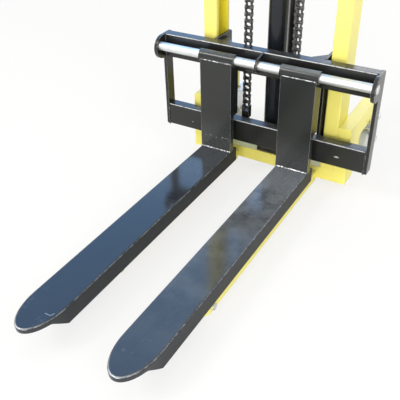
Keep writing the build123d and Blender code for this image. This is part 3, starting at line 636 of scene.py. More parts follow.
class Paint(Enum):
    """Every finish of the truck; each is built once."""

    YELLOW = Enamel("yellow_enamel", **YELLOW_COAT)
    CHANNEL = ChannelEnamel("channel_enamel", **YELLOW_COAT)
    # Black and beam edges take a light colour for wear and painted highlight, the beams also in dashed lines
    # along their rounded edges.
    BLACK = Enamel("black_enamel", edge=rgb(0.50, 0.51, 0.52), dust_cover=0.55, **BLACK_COAT)
    BEAM = BeamEnamel("beam_enamel", edge=rgb(0.62, 0.63, 0.64), dust_cover=0.60, dulling=0.40,
                      ridge_cover=0.95, ridge_break=(0.28, 0.50), **BLACK_COAT)
    # Fork enamel: the blue-grey dust colour is dust with a painted sky reflection, and the bluish edge colour
    # is worn metal with a painted sky highlight.
    FORK = ForkEnamel("fork_enamel", colour=rgb(0.010, 0.013, 0.018), shade=rgb(0.016, 0.018, 0.022),
                      edge=rgb(0.44, 0.48, 0.52), dust=rgb(0.20, 0.217, 0.237), roughness=0.10,
                      edge_cover=0.85, dust_cover=1.0, shine=0.56, dulling=0.10, ridge_cover=0.36,
                      side_rough=0.48)
    UPRIGHT = ForkEnamel("upright_enamel", colour=rgb(0.011, 0.013, 0.013), shade=rgb(0.017, 0.019, 0.018),
                         edge=rgb(0.50, 0.51, 0.52), dust=rgb(0.20, 0.21, 0.215), roughness=0.20,
                         edge_cover=0.7, dust_cover=1.0, shine=0.46, dulling=0.3)
    BARREL = Enamel("cylinder_enamel", colour=rgb(0.009, 0.011, 0.015), shade=rgb(0.014, 0.016, 0.020),
                    edge=rgb(0.40, 0.41, 0.42), dust=rgb(0.16, 0.17, 0.18), roughness=0.12,
                    edge_cover=0.5, dust_cover=0.3, shine=0.30)
    ZINC = PlatedSteel("zinc_plate", rgb(0.76, 0.78, 0.79), rgb(0.56, 0.59, 0.61),
                       roughness=0.42, grain=(25.0, 420.0, 420.0))
    CHROME = PlatedSteel("hard_chrome", rgb(0.86, 0.87, 0.88), rgb(0.74, 0.75, 0.77),
                         roughness=0.16, grain=(420.0, 420.0, 30.0))
    # Weld beads: a painted glint, bright metal with dark spots for the gaps between the dashes.
    WELD = PlatedSteel("painted_weld_glint", rgb(0.80, 0.81, 0.82), rgb(0.03, 0.03, 0.03),
                       roughness=0.40, grain=(300.0, 300.0, 300.0), spots=110.0, spread=(0.47, 0.56))
    CHAIN = OiledSteel("oiled_chain", rgb(0.055, 0.053, 0.052), rgb(0.62, 0.62, 0.61))
    STEEL = OiledSteel("turned_steel", rgb(0.20, 0.20, 0.205), rgb(0.66, 0.66, 0.66))
    NYLON = Moulded("cast_nylon", rgb(0.62, 0.64, 0.63), rgb(0.34, 0.34, 0.33),
                    roughness=0.45, grain=260.0, depth=0.0005)
    CASTING = Moulded("pump_casting", rgb(0.020, 0.020, 0.022), rgb(0.10, 0.10, 0.10),
                      roughness=0.42, grain=330.0, depth=0.0012)
    RED = Moulded("red_plastic", rgb(0.55, 0.030, 0.022), rgb(0.62, 0.16, 0.13),
                  roughness=0.34, grain=400.0, depth=0.0003)
    RUBBER = Moulded("grip_rubber", rgb(0.018, 0.018, 0.019), rgb(0.07, 0.07, 0.07),
                     roughness=0.72, grain=600.0, depth=0.0006)

    @property
    def material(self) -> bpy.types.Material:
        """The built material."""
        return bpy.data.materials.get(self.value.name) or self.value.make()


SLOT_PAINT = {"yellow_paint": Paint.YELLOW, "black_paint": Paint.BLACK, "zinc_steel": Paint.ZINC,
              "chrome_rod": Paint.CHROME, "bare_steel": Paint.STEEL, "grey_nylon": Paint.NYLON,
              "cast_pump": Paint.CASTING, "red_plastic": Paint.RED}
NODE_PAINT = {"carriage_upper_beam": Paint.BEAM, "carriage_lower_beam": Paint.BEAM,
              "fork_left_blade": Paint.FORK, "fork_right_blade": Paint.FORK,
              "fork_left_upright": Paint.UPRIGHT, "fork_right_upright": Paint.UPRIGHT,
              "mast_column_left": Paint.CHANNEL, "mast_column_right": Paint.CHANNEL,
              "cylinder_barrel": Paint.BARREL}


def dress(piece: bpy.types.Object, paint: Paint) -> bpy.types.Object:
    """Give a piece one finish.

    Args:
        piece: Mesh object.
        paint: Its finish.

    Returns:
        The same object.
    """
    piece.data.materials.clear()
    piece.data.materials.append(paint.material)
    return piece


def dress_nodes() -> None:
    """Give every CAD node its own finish, or that of its slot."""
    for part in frame["record"]["subparts"]:
        node = part["node"]
        dress(frame["nodes"][node], NODE_PAINT.get(node) or SLOT_PAINT[part["material_slot"]])


def fixed(piece: bpy.types.Object, paint: Paint, body: str) -> bpy.types.Object:
    """Paint a piece and let it ride a body.

    Args:
        piece: Mesh object.
        paint: Its finish.
        body: The body that carries it.

    Returns:
        The same object.
    """
    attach(dress(piece, paint), body)
    report(piece, body)
    return piece


def report(piece: bpy.types.Object, bodies: str) -> None:
    """Log a finished piece."""
    LOG.info("%s on %s: %d faces", piece.name, bodies, len(piece.data.polygons))


def aimed(at: Vector, along: Point) -> Matrix:
    """Placing that moves the origin to a point and turns +Z along a direction."""
    return Matrix.Translation(at) @ Vector(along).to_track_quat("Z", "Y").to_matrix().to_4x4()


def stood(spots: Sequence[Vector]) -> list[Matrix]:
    """Placings of upright copies."""
    return [Matrix.Translation(spot) for spot in spots]


def middle_of(box: Box) -> Vector:
    """Middle of a box."""
    return (box[0] + box[1]) / 2


class Bench:
    """Hand tools that start and shape one mesh at a time with operators.

    Shares are of a hexagon head's height, of a bead's width and of a sleeve's length.
    """

    washer_share: ClassVar[float] = 0.22
    ripple_share: ClassVar[float] = 0.34
    rough_share: ClassVar[float] = 0.16
    collar_share: ClassVar[float] = 0.06

    @staticmethod
    def clear() -> None:
        """Leave edit mode and select nothing."""
        if bpy.context.object is not None and bpy.context.object.mode != "OBJECT":
            bpy.ops.object.mode_set(mode="OBJECT")
        bpy.ops.object.select_all(action="DESELECT")

    @staticmethod
    def started(name: str) -> bpy.types.Object:
        """Name the primitive just added and bake its place into the mesh.

        Args:
            name: Name of the piece.

        Returns:
            The piece.
        """
        piece = bpy.context.object
        piece.name = name
        bpy.ops.object.transform_apply(location=True, rotation=True, scale=True)
        return piece

    @staticmethod
    def pick(piece: bpy.types.Object, test: Callable[[Vector], bool] = lambda co: True) -> None:
        """Enter edit mode with some vertices of one piece selected.

        Args:
            piece: Mesh object.
            test: True for the place of a vertex to select.
        """
        Bench.clear()
        bpy.context.view_layer.objects.active = piece
        piece.select_set(True)
        bpy.ops.object.mode_set(mode="EDIT")
        bpy.ops.mesh.select_mode(type="VERT")
        bpy.ops.mesh.select_all(action="DESELECT")
        bpy.ops.object.mode_set(mode="OBJECT")
        for vertex in piece.data.vertices:
            vertex.select = test(vertex.co)
        bpy.ops.object.mode_set(mode="EDIT")

    @staticmethod
    def drawn(way: Point) -> None:
        """Extrude what is selected."""
        bpy.ops.mesh.extrude_region_move(TRANSFORM_OT_translate={"value": way})

    @staticmethod
    def closed(piece: bpy.types.Object, angle: float = 35.0) -> bpy.types.Object:
        """Turn the normals outward, leave edit mode and smooth the flat joins.

        Args:
            piece: Mesh object.
            angle: Sharpest join that is smoothed, in degrees.

        Returns:
            The same object.
        """
        Bench.pick(piece)
        bpy.ops.mesh.normals_make_consistent(inside=False)
        bpy.ops.object.mode_set(mode="OBJECT")
        bpy.ops.object.shade_smooth_by_angle(angle=math.radians(angle))
        return piece

    @staticmethod
    def turned(name: str, profile: Sequence[Pair], sides: int = 24) -> bpy.types.Object:
        """Solid drawn up along Z from a disc, ring by ring.

        Args:
            name: Name of the piece.
            profile: Radius and height of each ring, from the bottom up.
            sides: Number of sides.

        Returns:
            The piece.
        """
        Bench.clear()
        (wide, high), *rings = profile
        bpy.ops.mesh.primitive_circle_add(vertices=sides, radius=wide, fill_type="NGON",
                                          location=(0, 0, high))
        piece = Bench.started(name)
        Bench.pick(piece)
        for radius, height in rings:
            Bench.drawn((0, 0, height - high))
            ratio = radius / wide
            bpy.ops.transform.resize(value=(ratio, ratio, 1), center_override=(0, 0, height))
            wide, high = radius, height
        return Bench.closed(piece)

    @staticmethod
    def hex_head(name: str, size: Hex) -> bpy.types.Object:
        """Hexagon head on a round washer, seated on z = 0.

        Args:
            name: Name of the piece.
            size: Its sizes.

        Returns:
            The piece.
        """
        across, height, washer = size
        corner = across / math.sqrt(3)
        flat = height * Bench.washer_share
        base = Bench.turned(name, [(washer, 0), (washer, flat * 0.7), (washer * 0.94, flat)])
        head = Bench.turned(name, [(corner, flat), (corner, height), (corner * 0.86, height + flat * 0.6)],
                            sides=6)
        return Bench.joined(name, [base, head])

    @staticmethod
    def joined(name: str, pieces: Sequence[bpy.types.Object]) -> bpy.types.Object:
        """Join pieces into the first one.

        Args:
            name: Name of the result.
            pieces: Mesh objects.

        Returns:
            The joined piece.
        """
        Bench.clear()
        for piece in pieces:
            piece.select_set(True)
        bpy.context.view_layer.objects.active = pieces[0]
        if len(pieces) > 1:
            bpy.ops.object.join()
        pieces[0].name = name
        return pieces[0]

    @staticmethod
    def copies(name: str, piece: bpy.types.Object, places: Sequence[Matrix]) -> bpy.types.Object:
        """Repeat a piece, each copy with a mesh of its own, and join the copies.

        Args:
            name: Name of the result.
            piece: The piece, which is used up.
            places: Placing of each copy.

        Returns:
            The joined copies.
        """
        made = []
        for place in places:
            twin = piece.copy()
            twin.data = piece.data.copy()
            twin.data.transform(place)
            bpy.context.scene.collection.objects.link(twin)
            made.append(twin)
        bpy.data.objects.remove(piece)
        return Bench.joined(name, made)

    @staticmethod
    def bead(name: str, start: Vector, end: Vector, width: float) -> bpy.types.Object:
        """Weld bead: one ripple repeated along a line and roughened.

        Args:
            name: Name of the piece.
            start: First end.
            end: Other end.
            width: Width of the bead.

        Returns:
            The piece.
        """
        Bench.clear()
        run = end - start
        bpy.ops.mesh.primitive_uv_sphere_add(segments=8, ring_count=5, radius=width / 2)
        piece = Bench.started(name)
        count = max(2, round(run.length / (width * Bench.ripple_share)))
        repeat = piece.modifiers.new("ripples", "ARRAY")
        repeat.count = count
        repeat.use_relative_offset = False
        repeat.use_constant_offset = True
        repeat.constant_offset_displace = (run.length / (count - 1), 0, 0)
        bpy.ops.object.modifier_apply(modifier=repeat.name)
        Bench.pick(piece)
        bpy.ops.transform.vertex_random(offset=width * Bench.rough_share, uniform=0.6, seed=count)
        bpy.ops.object.mode_set(mode="OBJECT")
        piece.data.transform(Matrix.Translation(start) @ run.to_track_quat("X", "Z").to_matrix().to_4x4())
        return Bench.closed(piece, angle=70.0)

    @staticmethod
    def ribbed(name: str, crest: float, depth: float, length: float, ribs: int,
               sides: int) -> bpy.types.Object:
        """Ribbed sleeve along Z from z = 0, with plain collars at both ends.

        Args:
            name: Name of the piece.
            crest: Radius of a rib.
            depth: Depth of the grooves.
            length: Whole length.
            ribs: Number of ribs.
            sides: Number of sides.

        Returns:
            The piece.
        """
        valley, flare, lip = crest - depth, crest + 0.001, 0.001
        collar = length * Bench.collar_share
        pitch = (length - 2 * collar) / ribs
        rings = [(valley, 0.0), (flare, lip), (flare, collar * 0.7)]
        for rib in range(ribs):
            base = collar + rib * pitch
            rings += [(valley, base), (valley, base + pitch * 0.3), (crest, base + pitch * 0.45),
                      (crest, base + pitch * 0.85)]
        rings += [(valley, length - collar), (flare, length - collar * 0.7), (flare, length - lip),
                  (valley, length)]
        return Bench.turned(name, rings, sides)


@dataclass(frozen=True)
class Lamp:
    """One soft square lamp that faces a point."""

    name: str
    at: Point
    to: Point
    size: float
    power: float
    colour: Point = (1.0, 0.98, 0.95)

    def build(self) -> None:
        """Hang the lamp."""
        data = bpy.data.lights.new(self.name, "AREA")
        data.size = self.size
        data.energy = self.power
        data.color = self.colour
        lamp = bpy.data.objects.new(self.name, data)
        bpy.context.scene.collection.objects.link(lamp)
        lamp.location = self.at
        lamp.rotation_euler = (Vector(self.to) - Vector(self.at)).to_track_quat("-Z", "Y").to_euler()


@dataclass(frozen=True)
class SkyCard:
    """Blue card that faces a point and that the paint reflects as sky."""

    name: str
    at: Point
    to: Point
    size: Pair
    colour: Colour = rgb(0.32, 0.58, 1.0)
    strength: float = 2.35

    def build(self) -> None:
        """Hang the card, seen in reflections only."""
        Bench.clear()
        turn = (Vector(self.to) - Vector(self.at)).to_track_quat("Z", "Y").to_euler()
        bpy.ops.mesh.primitive_plane_add(size=1, location=self.at, rotation=turn)
        bpy.context.object.scale = (*self.size, 1)
        card = Bench.started(self.name)
        g = Graph.of_material(self.name)
        g.close(g.node("ShaderNodeEmission", {"Color": self.colour, "Strength": self.strength}))
        card.data.materials.append(g.owner)
        card.visible_camera = False
        card.visible_diffuse = False


@dataclass
class Studio:
    """Pale floor, soft lights, white surround and the camera."""

    camera_at: Point = (0.6658, FACE - 1.4364, 1.0268)
    azimuth: float = 31.51
    elevation: float = 35.21
    roll: float = -1.51
    lens: float = 54.02
    sensor: float = 36.0
    floor_size: float = 30.0
    floor_drop: float = 0.0005
    floor_colour: Colour = rgb(0.90, 0.89, 0.87)
    floor_glow: float = 0.72
    glow_reach: Pair = (1.6, 6.0)
    white: Colour = rgb(1, 1, 1)
    light_colour: Colour = rgb(0.95, 0.97, 1.0)
    light_level: float = 0.74
    lights: tuple[Union[Lamp, SkyCard], ...] = (
        Lamp("key", (-3.4, -4.4, 5.6), (0.0, 0.1, 0.6), 2.3, 195.0, (1.0, 0.98, 0.94)),
        Lamp("fill", (5.6, -3.2, 4.6), (0.0, 0.0, 0.6), 3.3, 150.0),
        Lamp("front", (0.6, -3.9, 0.9), (0.1, 0.2, 0.15), 2.0, 88.0),
        Lamp("back", (-1.6, 6.6, 4.8), (0.0, 0.2, 0.7), 3.4, 220.0),
        SkyCard("sky_card", (-2.3, 2.3, 3.1), (0.0, -0.2, 0.1), (4.4, 4.4)),
        SkyCard("sky_strip", (-0.49, 4.102, 2.988), (1.81, 1.602, -0.012), (0.70, 1.50)))

    def build(self) -> None:
        """Make floor, surround, lights and camera."""
        bpy.context.scene.view_settings.view_transform = "Standard"
        self.floor()
        self.surround()
        for light in self.lights:
            light.build()
        self.camera()

    def floor(self) -> None:
        """Pale floor that stays near white and keeps the shadow."""
        Bench.clear()
        bpy.ops.mesh.primitive_plane_add(size=self.floor_size, location=(0, 0, -self.floor_drop))
        plane = bpy.context.object
        plane.name = "studio_floor"
        g = Graph.of_material("studio_floor")
        glow = g.node("ShaderNodeEmission", {"Color": self.white, "Strength": 1.0})
        matt = g.node("ShaderNodeBsdfDiffuse", {"Color": self.floor_colour})
        path = g.node("ShaderNodeLightPath", {}, "Is Camera Ray")
        away = g.node("ShaderNodeVectorMath", {0: g.at}, "Value", operation="LENGTH")
        share = path * (away.rise(*self.glow_reach) * (1 - self.floor_glow) + self.floor_glow)
        g.close(g.node("ShaderNodeMixShader", {0: share, 1: matt, 2: glow}))
        plane.data.materials.append(g.owner)

    def surround(self) -> None:
        """White to the eye and in reflections, soft light to the rest."""
        g = Graph(bpy.data.worlds.new("studio_surround"))
        bpy.context.scene.world = g.owner
        seen = g.node("ShaderNodeBackground", {"Color": self.white})
        soft = {"Color": self.light_colour, "Strength": self.light_level}
        light = g.node("ShaderNodeBackground", soft)
        shown = g.node("ShaderNodeLightPath", {}, "Is Camera Ray")
        for ray in ("Is Glossy Ray", "Is Transmission Ray"):
            shown = shown.most(g.node("ShaderNodeLightPath", {}, ray))
        g.close(g.node("ShaderNodeMixShader", {0: shown, 1: light, 2: seen}), "ShaderNodeOutputWorld")

    def camera(self) -> None:
        """Camera at the photograph's place and angle."""
        az, el, roll = (math.radians(v) for v in (self.azimuth, self.elevation, self.roll))
        back = Vector((math.sin(az) * math.cos(el), -math.cos(az) * math.cos(el), math.sin(el)))
        right = Vector((math.cos(az), math.sin(az), 0))
        up = back.cross(right)
        x = right * math.cos(roll) + up * math.sin(roll)
        y = up * math.cos(roll) - right * math.sin(roll)
        data = bpy.data.cameras.new("camera")
        data.lens = self.lens
        data.sensor_width = self.sensor
        eye = bpy.data.objects.new("camera", data)
        bpy.context.scene.collection.objects.link(eye)
        turn = Matrix((x, y, back)).transposed().to_4x4()
        eye.matrix_world = Matrix.Translation(self.camera_at) @ turn
        bpy.context.scene.camera = eye


@dataclass
class LiftChains:
    """Two roller chains, link by link, over the pulleys of the piston rod."""

    pitch: float = 0.01905
    height: float = 0.0158
    waist: float = 0.62
    plate: float = 0.0023
    plate_edge: float = 0.0005
    inside: float = 0.0126
    play: float = 0.0001
    pin: float = 0.0028
    pin_end: float = 0.001
    roller: float = 0.0050
    track: float = 0.074
    links: int = 46
    kept: int = 6
    wrap: int = 6
    stroke: float = 0.755
    halvings: ClassVar[int] = 40

    def __post_init__(self) -> None:
        """Find the pulley axis and the pitch circle."""
        self.axis = middle_of(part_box("chain_pulley_left"))
        self.radius = self.pitch / (2 * math.sin(math.pi / 2 / self.wrap))

    def side_plates(self, inner: float) -> bpy.types.Object:
        """Waisted plates on both sides of a link.

        Args:
            inner: Distance of the plates' inner faces from the middle.

        Returns:
            Both plates as one piece, with the pins at z = 0 and z = pitch.
        """
        Bench.clear()
        middle, sides = self.pitch / 2, 12
        bpy.ops.mesh.primitive_circle_add(vertices=sides, radius=self.height / 2, fill_type="NOTHING")
        piece = Bench.started("link_plate")
        upright = Matrix.Rotation(math.pi / 2, 4, "Y") @ Matrix.Rotation(math.pi / sides, 4, "Z")
        piece.data.transform(upright)
        Bench.pick(piece, lambda co: co.z > 0)
        bpy.ops.transform.translate(value=(0, 0, self.pitch))
        Bench.pick(piece, lambda co: abs(co.z - middle) < middle + self.height / 6)
        bpy.ops.mesh.subdivide(number_cuts=1)
        Bench.pick(piece, lambda co: abs(co.z - middle) < 1e-5)
        bpy.ops.transform.resize(value=(1, self.waist, 1), center_override=(0, 0, middle))
        Bench.pick(piece)
        bpy.ops.mesh.edge_face_add()
        Bench.drawn((self.plate, 0, 0))
        Bench.pick(piece, lambda co: co.x > self.plate / 2)
        bpy.ops.mesh.bevel(offset=self.plate_edge, segments=1)
        Bench.closed(piece)
        out = Matrix.Translation((inner, 0, 0))
        return Bench.copies("link_plates", piece, [out, Matrix.Rotation(math.pi, 4, "Z") @ out])

    def cross_rods(self, radius: float, half: float, sides: int) -> bpy.types.Object:
        """Pins or rollers at both ends of a link.

        Args:
            radius: Radius of a rod.
            half: Half its length.
            sides: Number of sides.

        Returns:
            Both rods as one piece.
        """
        rod = Bench.turned("link_rod", [(radius, -half), (radius, half)], sides)
        lying = Matrix.Rotation(math.pi / 2, 4, "Y")
        return Bench.copies("link_rods", rod, [lying, Matrix.Translation((0, 0, self.pitch)) @ lying])

    def link(self, outer: bool) -> bpy.types.Object:
        """One link: rollers between inner plates, or pins through outer plates.

        Args:
            outer: Whether the link has the outer plates.

        Returns:
            The link.
        """
        wide = self.inside / 2
        if outer:
            wide += self.plate + self.play
            rods = self.cross_rods(self.pin, wide + self.plate + self.pin_end, sides=8)
        else:
            rods = self.cross_rods(self.roller, wide - 2 * self.play, sides=10)
        return Bench.joined("chain_link", [self.side_plates(wide), rods])

    def run(self, name: str, places: Sequence[Matrix]) -> bpy.types.Object:
        """Chain of alternate links on both tracks.

        Args:
            name: Name of the piece.
            places: Placing of each link on the middle plane.

        Returns:
            The joined links.
        """
        sides = [Matrix.Translation((side.value * self.track, 0, 0)) for side in Side]
        halves = []
        for start in (0, 1):
            if places[start::2]:
                spread = [side @ place for side in sides for place in places[start::2]]
                halves.append(Bench.copies(name, self.link(start == 1), spread))
        return Bench.joined(name, halves)

    def upright(self, y: float, z: float) -> Matrix:
        """Placing of a link that stands on a pin."""
        return Matrix.Translation((0, y, z))

    def round(self, index: int) -> Matrix:
        """Placing of a link on the pulley.

        Args:
            index: Number of the link, counted from the front.

        Returns:
            The placing.
        """
        turns = [math.pi * (1 - k / self.wrap) for k in (index, index + 1)]
        pin, end = (Vector((0, math.cos(a), math.sin(a))) * self.radius for a in turns)
        way = end - pin
        at = Matrix.Translation((0, self.axis.y + pin.y, self.axis.z + pin.z))
        return at @ Matrix.Rotation(math.atan2(-way.y, way.z), 4, "X")

    def build(self) -> None:
        """Model the front runs, the wraps and the rear runs."""
        front = self.axis.y - self.radius
        rear = self.axis.y + self.radius
        foot = self.axis.z - self.links * self.pitch
        tall = [self.upright(front, foot + k * self.pitch) for k in range(self.links)]
        self.lower = self.run("chain_front_lower_links", tall[:self.kept])
        self.upper = self.run("chain_front_upper_links", tall[self.kept:])
        self.over = self.run("chain_wrap_links", [self.round(k) for k in range(self.wrap)])
        self.clevis = self.run("chain_rear_end_links", [self.upright(rear, self.axis.z - self.pitch)])
        raised = range(1, int(self.stroke // self.pitch))
        self.stored = self.run("chain_rear_stored_links",
                               [self.upright(rear, self.axis.z + k * self.pitch) for k in raised])
        self.pack(self.stored)

    def pack(self, piece: bpy.types.Object) -> None:
        """Draw the raised rear run together.

        Args:
            piece: The run, which is changed.
        """
        base = self.axis.z - self.pitch
        for vertex in piece.data.vertices:
            vertex.co.z = base + self.pitch * self.share(vertex.co.z - base)

    def share(self, height: float) -> float:
        """Place in the drawn-together run of a height in the raised run.

        Args:
            height: Height over the foot of the raised run.

        Returns:
            The place, from 0 to 1.
        """
        low, high = 0.0, 1.0
        for _ in range(self.halvings):
            t = (low + high) / 2
            if t * self.pitch + t * t * (3 - 2 * t) * self.stroke < height:
                low = t
            else:
                high = t
        return low

    def dress(self) -> None:
        """Oil the chains, tie them to the bodies and retire the plain ones."""
        for piece, body in ((self.lower, "carriage"), (self.upper, "carriage"), (self.over, "lift_rod"),
                            (self.clevis, "frame")):
            fixed(piece, Paint.CHAIN, body)
        dress(self.stored, Paint.CHAIN)
        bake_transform(self.stored)
        report(self.stored, "frame and lift_rod")
        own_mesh(self.upper)
        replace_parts(self.lower, "chain_front_runs")
        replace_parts(self.over, "chain_wraps")
        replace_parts(self.clevis, "chain_rear_runs")


@dataclass
class ForkTrim:
    """Weld beads of one fork."""

    side: Side
    bead: float = 0.0056
    seam: float = 0.0036
    sunk: float = 0.001
    lift: float = 0.0005
    seam_over: float = 0.006

    def across(self, name: str, z: float, width: float) -> bpy.types.Object:
        """Bead across the front of the upright.

        Args:
            name: Name of the bead.
            z: Its height.
            width: Its width.

        Returns:
            The bead.
        """
        fork = f"fork_{self.side.word}"
        low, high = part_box(f"{fork}_blade")
        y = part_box(f"{fork}_upright")[0].y + self.sunk
        inset = self.bead / 2
        left, right = (Vector((x, y, z)) for x in (low.x + inset, high.x - inset))
        return Bench.bead(f"{fork}_{name}", left, right, width)

    def build(self) -> None:
        """Model the beads at the blade root and under the sleeve."""
        blade_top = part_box(f"fork_{self.side.word}_blade")[1].z
        self.root = self.across("root_weld", blade_top + self.lift, self.bead)
        self.top = self.across("sleeve_weld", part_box("fork_shaft")[0].z + self.seam_over, self.seam)

    def dress(self) -> None:
        """Give the beads a painted glint: bright metal with dark gaps."""
        for piece in (self.root, self.top):
            fixed(piece, Paint.WELD, f"fork_{self.side.word}")


@dataclass
class CarriageTrim:
    """Thin centre plate, shaft clips and corner welds of the carriage."""

    clip: float = 0.0168
    clip_thick: float = 0.0014
    bead: float = 0.005
    web: float = 0.0056
    eye: float = 0.0215
    bore: float = 0.01255
    rise: float = 0.028

    def centre_web(self, axis: Vector, face: float) -> bpy.types.Object:
        """Plate round the middle of the shaft, round in front and wide at the beam.

        Args:
            axis: Middle of the shaft.
            face: Front of the upper beam.

        Returns:
            The plate.
        """
        rings = []
        for radius in (self.eye, self.bore):
            Bench.clear()
            bpy.ops.mesh.primitive_circle_add(vertices=48, radius=radius, rotation=(0, math.pi / 2, 0),
                                              location=(-self.web / 2, axis.y, axis.z))
            rings.append(Bench.started("centre_ring"))
        Bench.pick(rings[0], lambda co: co.y > axis.y + 0.0001)
        bpy.ops.transform.resize(value=(1, 0, self.rise / self.eye), center_override=(0, face, axis.z))
        plate = Bench.joined("carriage_centre_web", [Bench.closed(ring) for ring in rings])
        Bench.pick(plate)
        bpy.ops.mesh.bridge_edge_loops()
        bpy.ops.mesh.select_all(action="SELECT")
        Bench.drawn((self.web, 0, 0))
        return Bench.closed(plate)

    def corner_beads(self) -> Iterator[bpy.types.Object]:
        """Beads where the beams meet the end plates.

        Yields:
            Each bead.
        """
        for node in ("carriage_upper_beam", "carriage_lower_beam"):
            low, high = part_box(node)
            for x in (low.x, high.x):
                ends = (Vector((x, low.y, z)) for z in (low.z, high.z))
                yield Bench.bead("corner_weld", *ends, self.bead)

    def build(self) -> None:
        """Model the plate, the clips and the welds."""
        middle = middle_of(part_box("fork_shaft"))
        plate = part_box("carriage_end_plate_right")[1].x
        ring = Bench.turned("shaft_clip", [(self.clip, 0), (self.clip, self.clip_thick)], sides=28)
        places = [aimed(Vector((way * plate, middle.y, middle.z)), (way, 0, 0)) for way in (-1, 1)]
        self.clips = Bench.copies("fork_shaft_clips", ring, places)
        self.welds = Bench.joined("carriage_corner_welds", list(self.corner_beads()))
        self.plate = self.centre_web(middle, FACE)

    def dress(self) -> None:
        """Dark clips, painted welds and plate."""
        fixed(self.clips, Paint.STEEL, "carriage")
        fixed(self.welds, Paint.BLACK, "carriage")
        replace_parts(fixed(self.plate, Paint.BLACK, "carriage"), "carriage_centre_plate")


@dataclass
class MastTrim:
    """Welds of the mast and base, and the grips and feet of the grab handles."""

    bead: float = 0.006
    grip: float = 0.0145
    groove: float = 0.0016
    ribs: int = 17
    bend: float = 0.045
    flange: Rings = ((0.019, 0.0), (0.019, 0.003), (0.017, 0.005), (0.0125, 0.006))

    def build(self) -> None:
        """Model the beads, the ribbed grips and the handle flanges."""
        self.welds = Bench.joined("mast_welds", [bead for side in Side for bead in self.beads(side)])
        self.grips = [self.sleeve(side) for side in Side]
        disc = Bench.turned("grab_flange", self.flange)
        self.flanges = Bench.copies("grab_handle_flanges", disc, self.flange_places())

    def beads(self, side: Side) -> Iterator[bpy.types.Object]:
        """Beads of one side.

        Args:
            side: Side of the truck.

        Yields:
            The beads at the mast's head and brace, and at the leg.
        """
        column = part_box(f"mast_column_{side.word}")
        inner = column[0].x if side is Side.RIGHT else column[1].x
        for node in ("mast_head_beam", "mast_rear_brace"):
            ends = (Vector((inner, column[1].y, corner.z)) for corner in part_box(node))
            yield Bench.bead("mast_weld", *ends, self.bead)
        low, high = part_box(f"leg_{side.word}")
        yield Bench.bead("leg_weld", Vector((low.x, high.y, high.z)), high.copy(), self.bead)

    def sleeve(self, side: Side) -> bpy.types.Object:
        """Rubber grip on the upright part of a grab handle.

        Args:
            side: Side of the truck.

        Returns:
            The grip.
        """
        low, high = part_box(f"grab_handle_{side.word}")
        tube = (high.x - low.x) / 2
        bottom, top = low.z + self.bend, high.z - self.bend
        grip = Bench.ribbed(f"grab_grip_{side.word}", self.grip, self.groove, top - bottom, self.ribs,
                            sides=20)
        grip.data.transform(Matrix.Translation(((low.x + high.x) / 2, high.y - tube, bottom)))
        return grip

    def flange_places(self) -> list[Matrix]:
        """Places of the four handle feet.

        Returns:
            The placings.
        """
        places = []
        for side in Side:
            low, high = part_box(f"grab_handle_{side.word}")
            tube = (high.x - low.x) / 2
            for z in (low.z + tube, high.z - tube):
                places.append(aimed(Vector(((low.x + high.x) / 2, low.y, z)), (0, 1, 0)))
        return places

    def dress(self) -> None:
        """Painted welds and flanges, rubber grips."""
        fixed(self.welds, Paint.YELLOW, "frame")
        fixed(self.flanges, Paint.BLACK, "frame")
        for grip in self.grips:
            fixed(grip, Paint.RUBBER, "frame")


@dataclass
class CylinderTrim:
    """Foot bolts, pipe unions, wiper ring and bleed screw of the lift cylinder.

    The radii of the wiper's rings count from the piston rod.
    """

    bolt: Hex = Hex(0.0104, 0.006, 0.00806)
    bolt_inset: float = 0.009
    screw: Hex = Hex(0.011, 0.006, 0.008)
    screw_sunk: float = 0.001
    wiper: Rings = ((0.007, 0.0), (0.007, 0.002), (0.004, 0.005), (0.0004, 0.006))
    union: Rings = ((0.00945, 0.0), (0.0105, 0.001), (0.0105, 0.009), (0.00945, 0.010))

    def build(self) -> None:
        """Model the fasteners and seals."""
        low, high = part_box("cylinder_foot")
        middle = (low + high) / 2
        head = Bench.hex_head("foot_bolt", self.bolt)
        corners = [Vector((x, y, high.z)) for x in (low.x + self.bolt_inset, high.x - self.bolt_inset)
                   for y in (low.y + self.bolt_inset, high.y - self.bolt_inset)]
        self.bolts = Bench.copies("cylinder_foot_bolts", head, stood(corners))
        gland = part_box("cylinder_gland")
        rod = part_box("piston_rod")
        bore = (rod[1].x - rod[0].x) / 2
        self.seal = Bench.turned("rod_wiper", [(bore + out, z) for out, z in self.wiper], sides=32)
        self.seal.data.transform(Matrix.Translation((middle.x, middle.y, gland[1].z)))
        self.unions = self.pipe_unions(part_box("oil_pipe"))
        screw = Bench.hex_head("bleed_screw", self.screw)
        side = Vector((gland[1].x - self.screw_sunk, middle.y, middle_of(gland).z))
        self.bleed = Bench.copies("gland_bleed_screw", screw, [aimed(side, (1, 0, 0))])

    def pipe_unions(self, pipe: Box) -> bpy.types.Object:
        """Union nuts at both ends of the oil pipe.

        Args:
            pipe: Box of the pipe.

        Returns:
            Both nuts as one piece.
        """
        nut = Bench.turned("pipe_union", self.union, sides=6)
        z = middle_of(pipe).z
        ends = [aimed(Vector((0, end.y, z)), (0, way, 0)) for end, way in zip(pipe, (1, -1))]
        return Bench.copies("oil_pipe_unions", nut, ends)

    def dress(self) -> None:
        """Zinc fasteners and a rubber wiper."""
        for piece in (self.bolts, self.unions, self.bleed):
            fixed(piece, Paint.ZINC, "frame")
        fixed(self.seal, Paint.RUBBER, "frame")


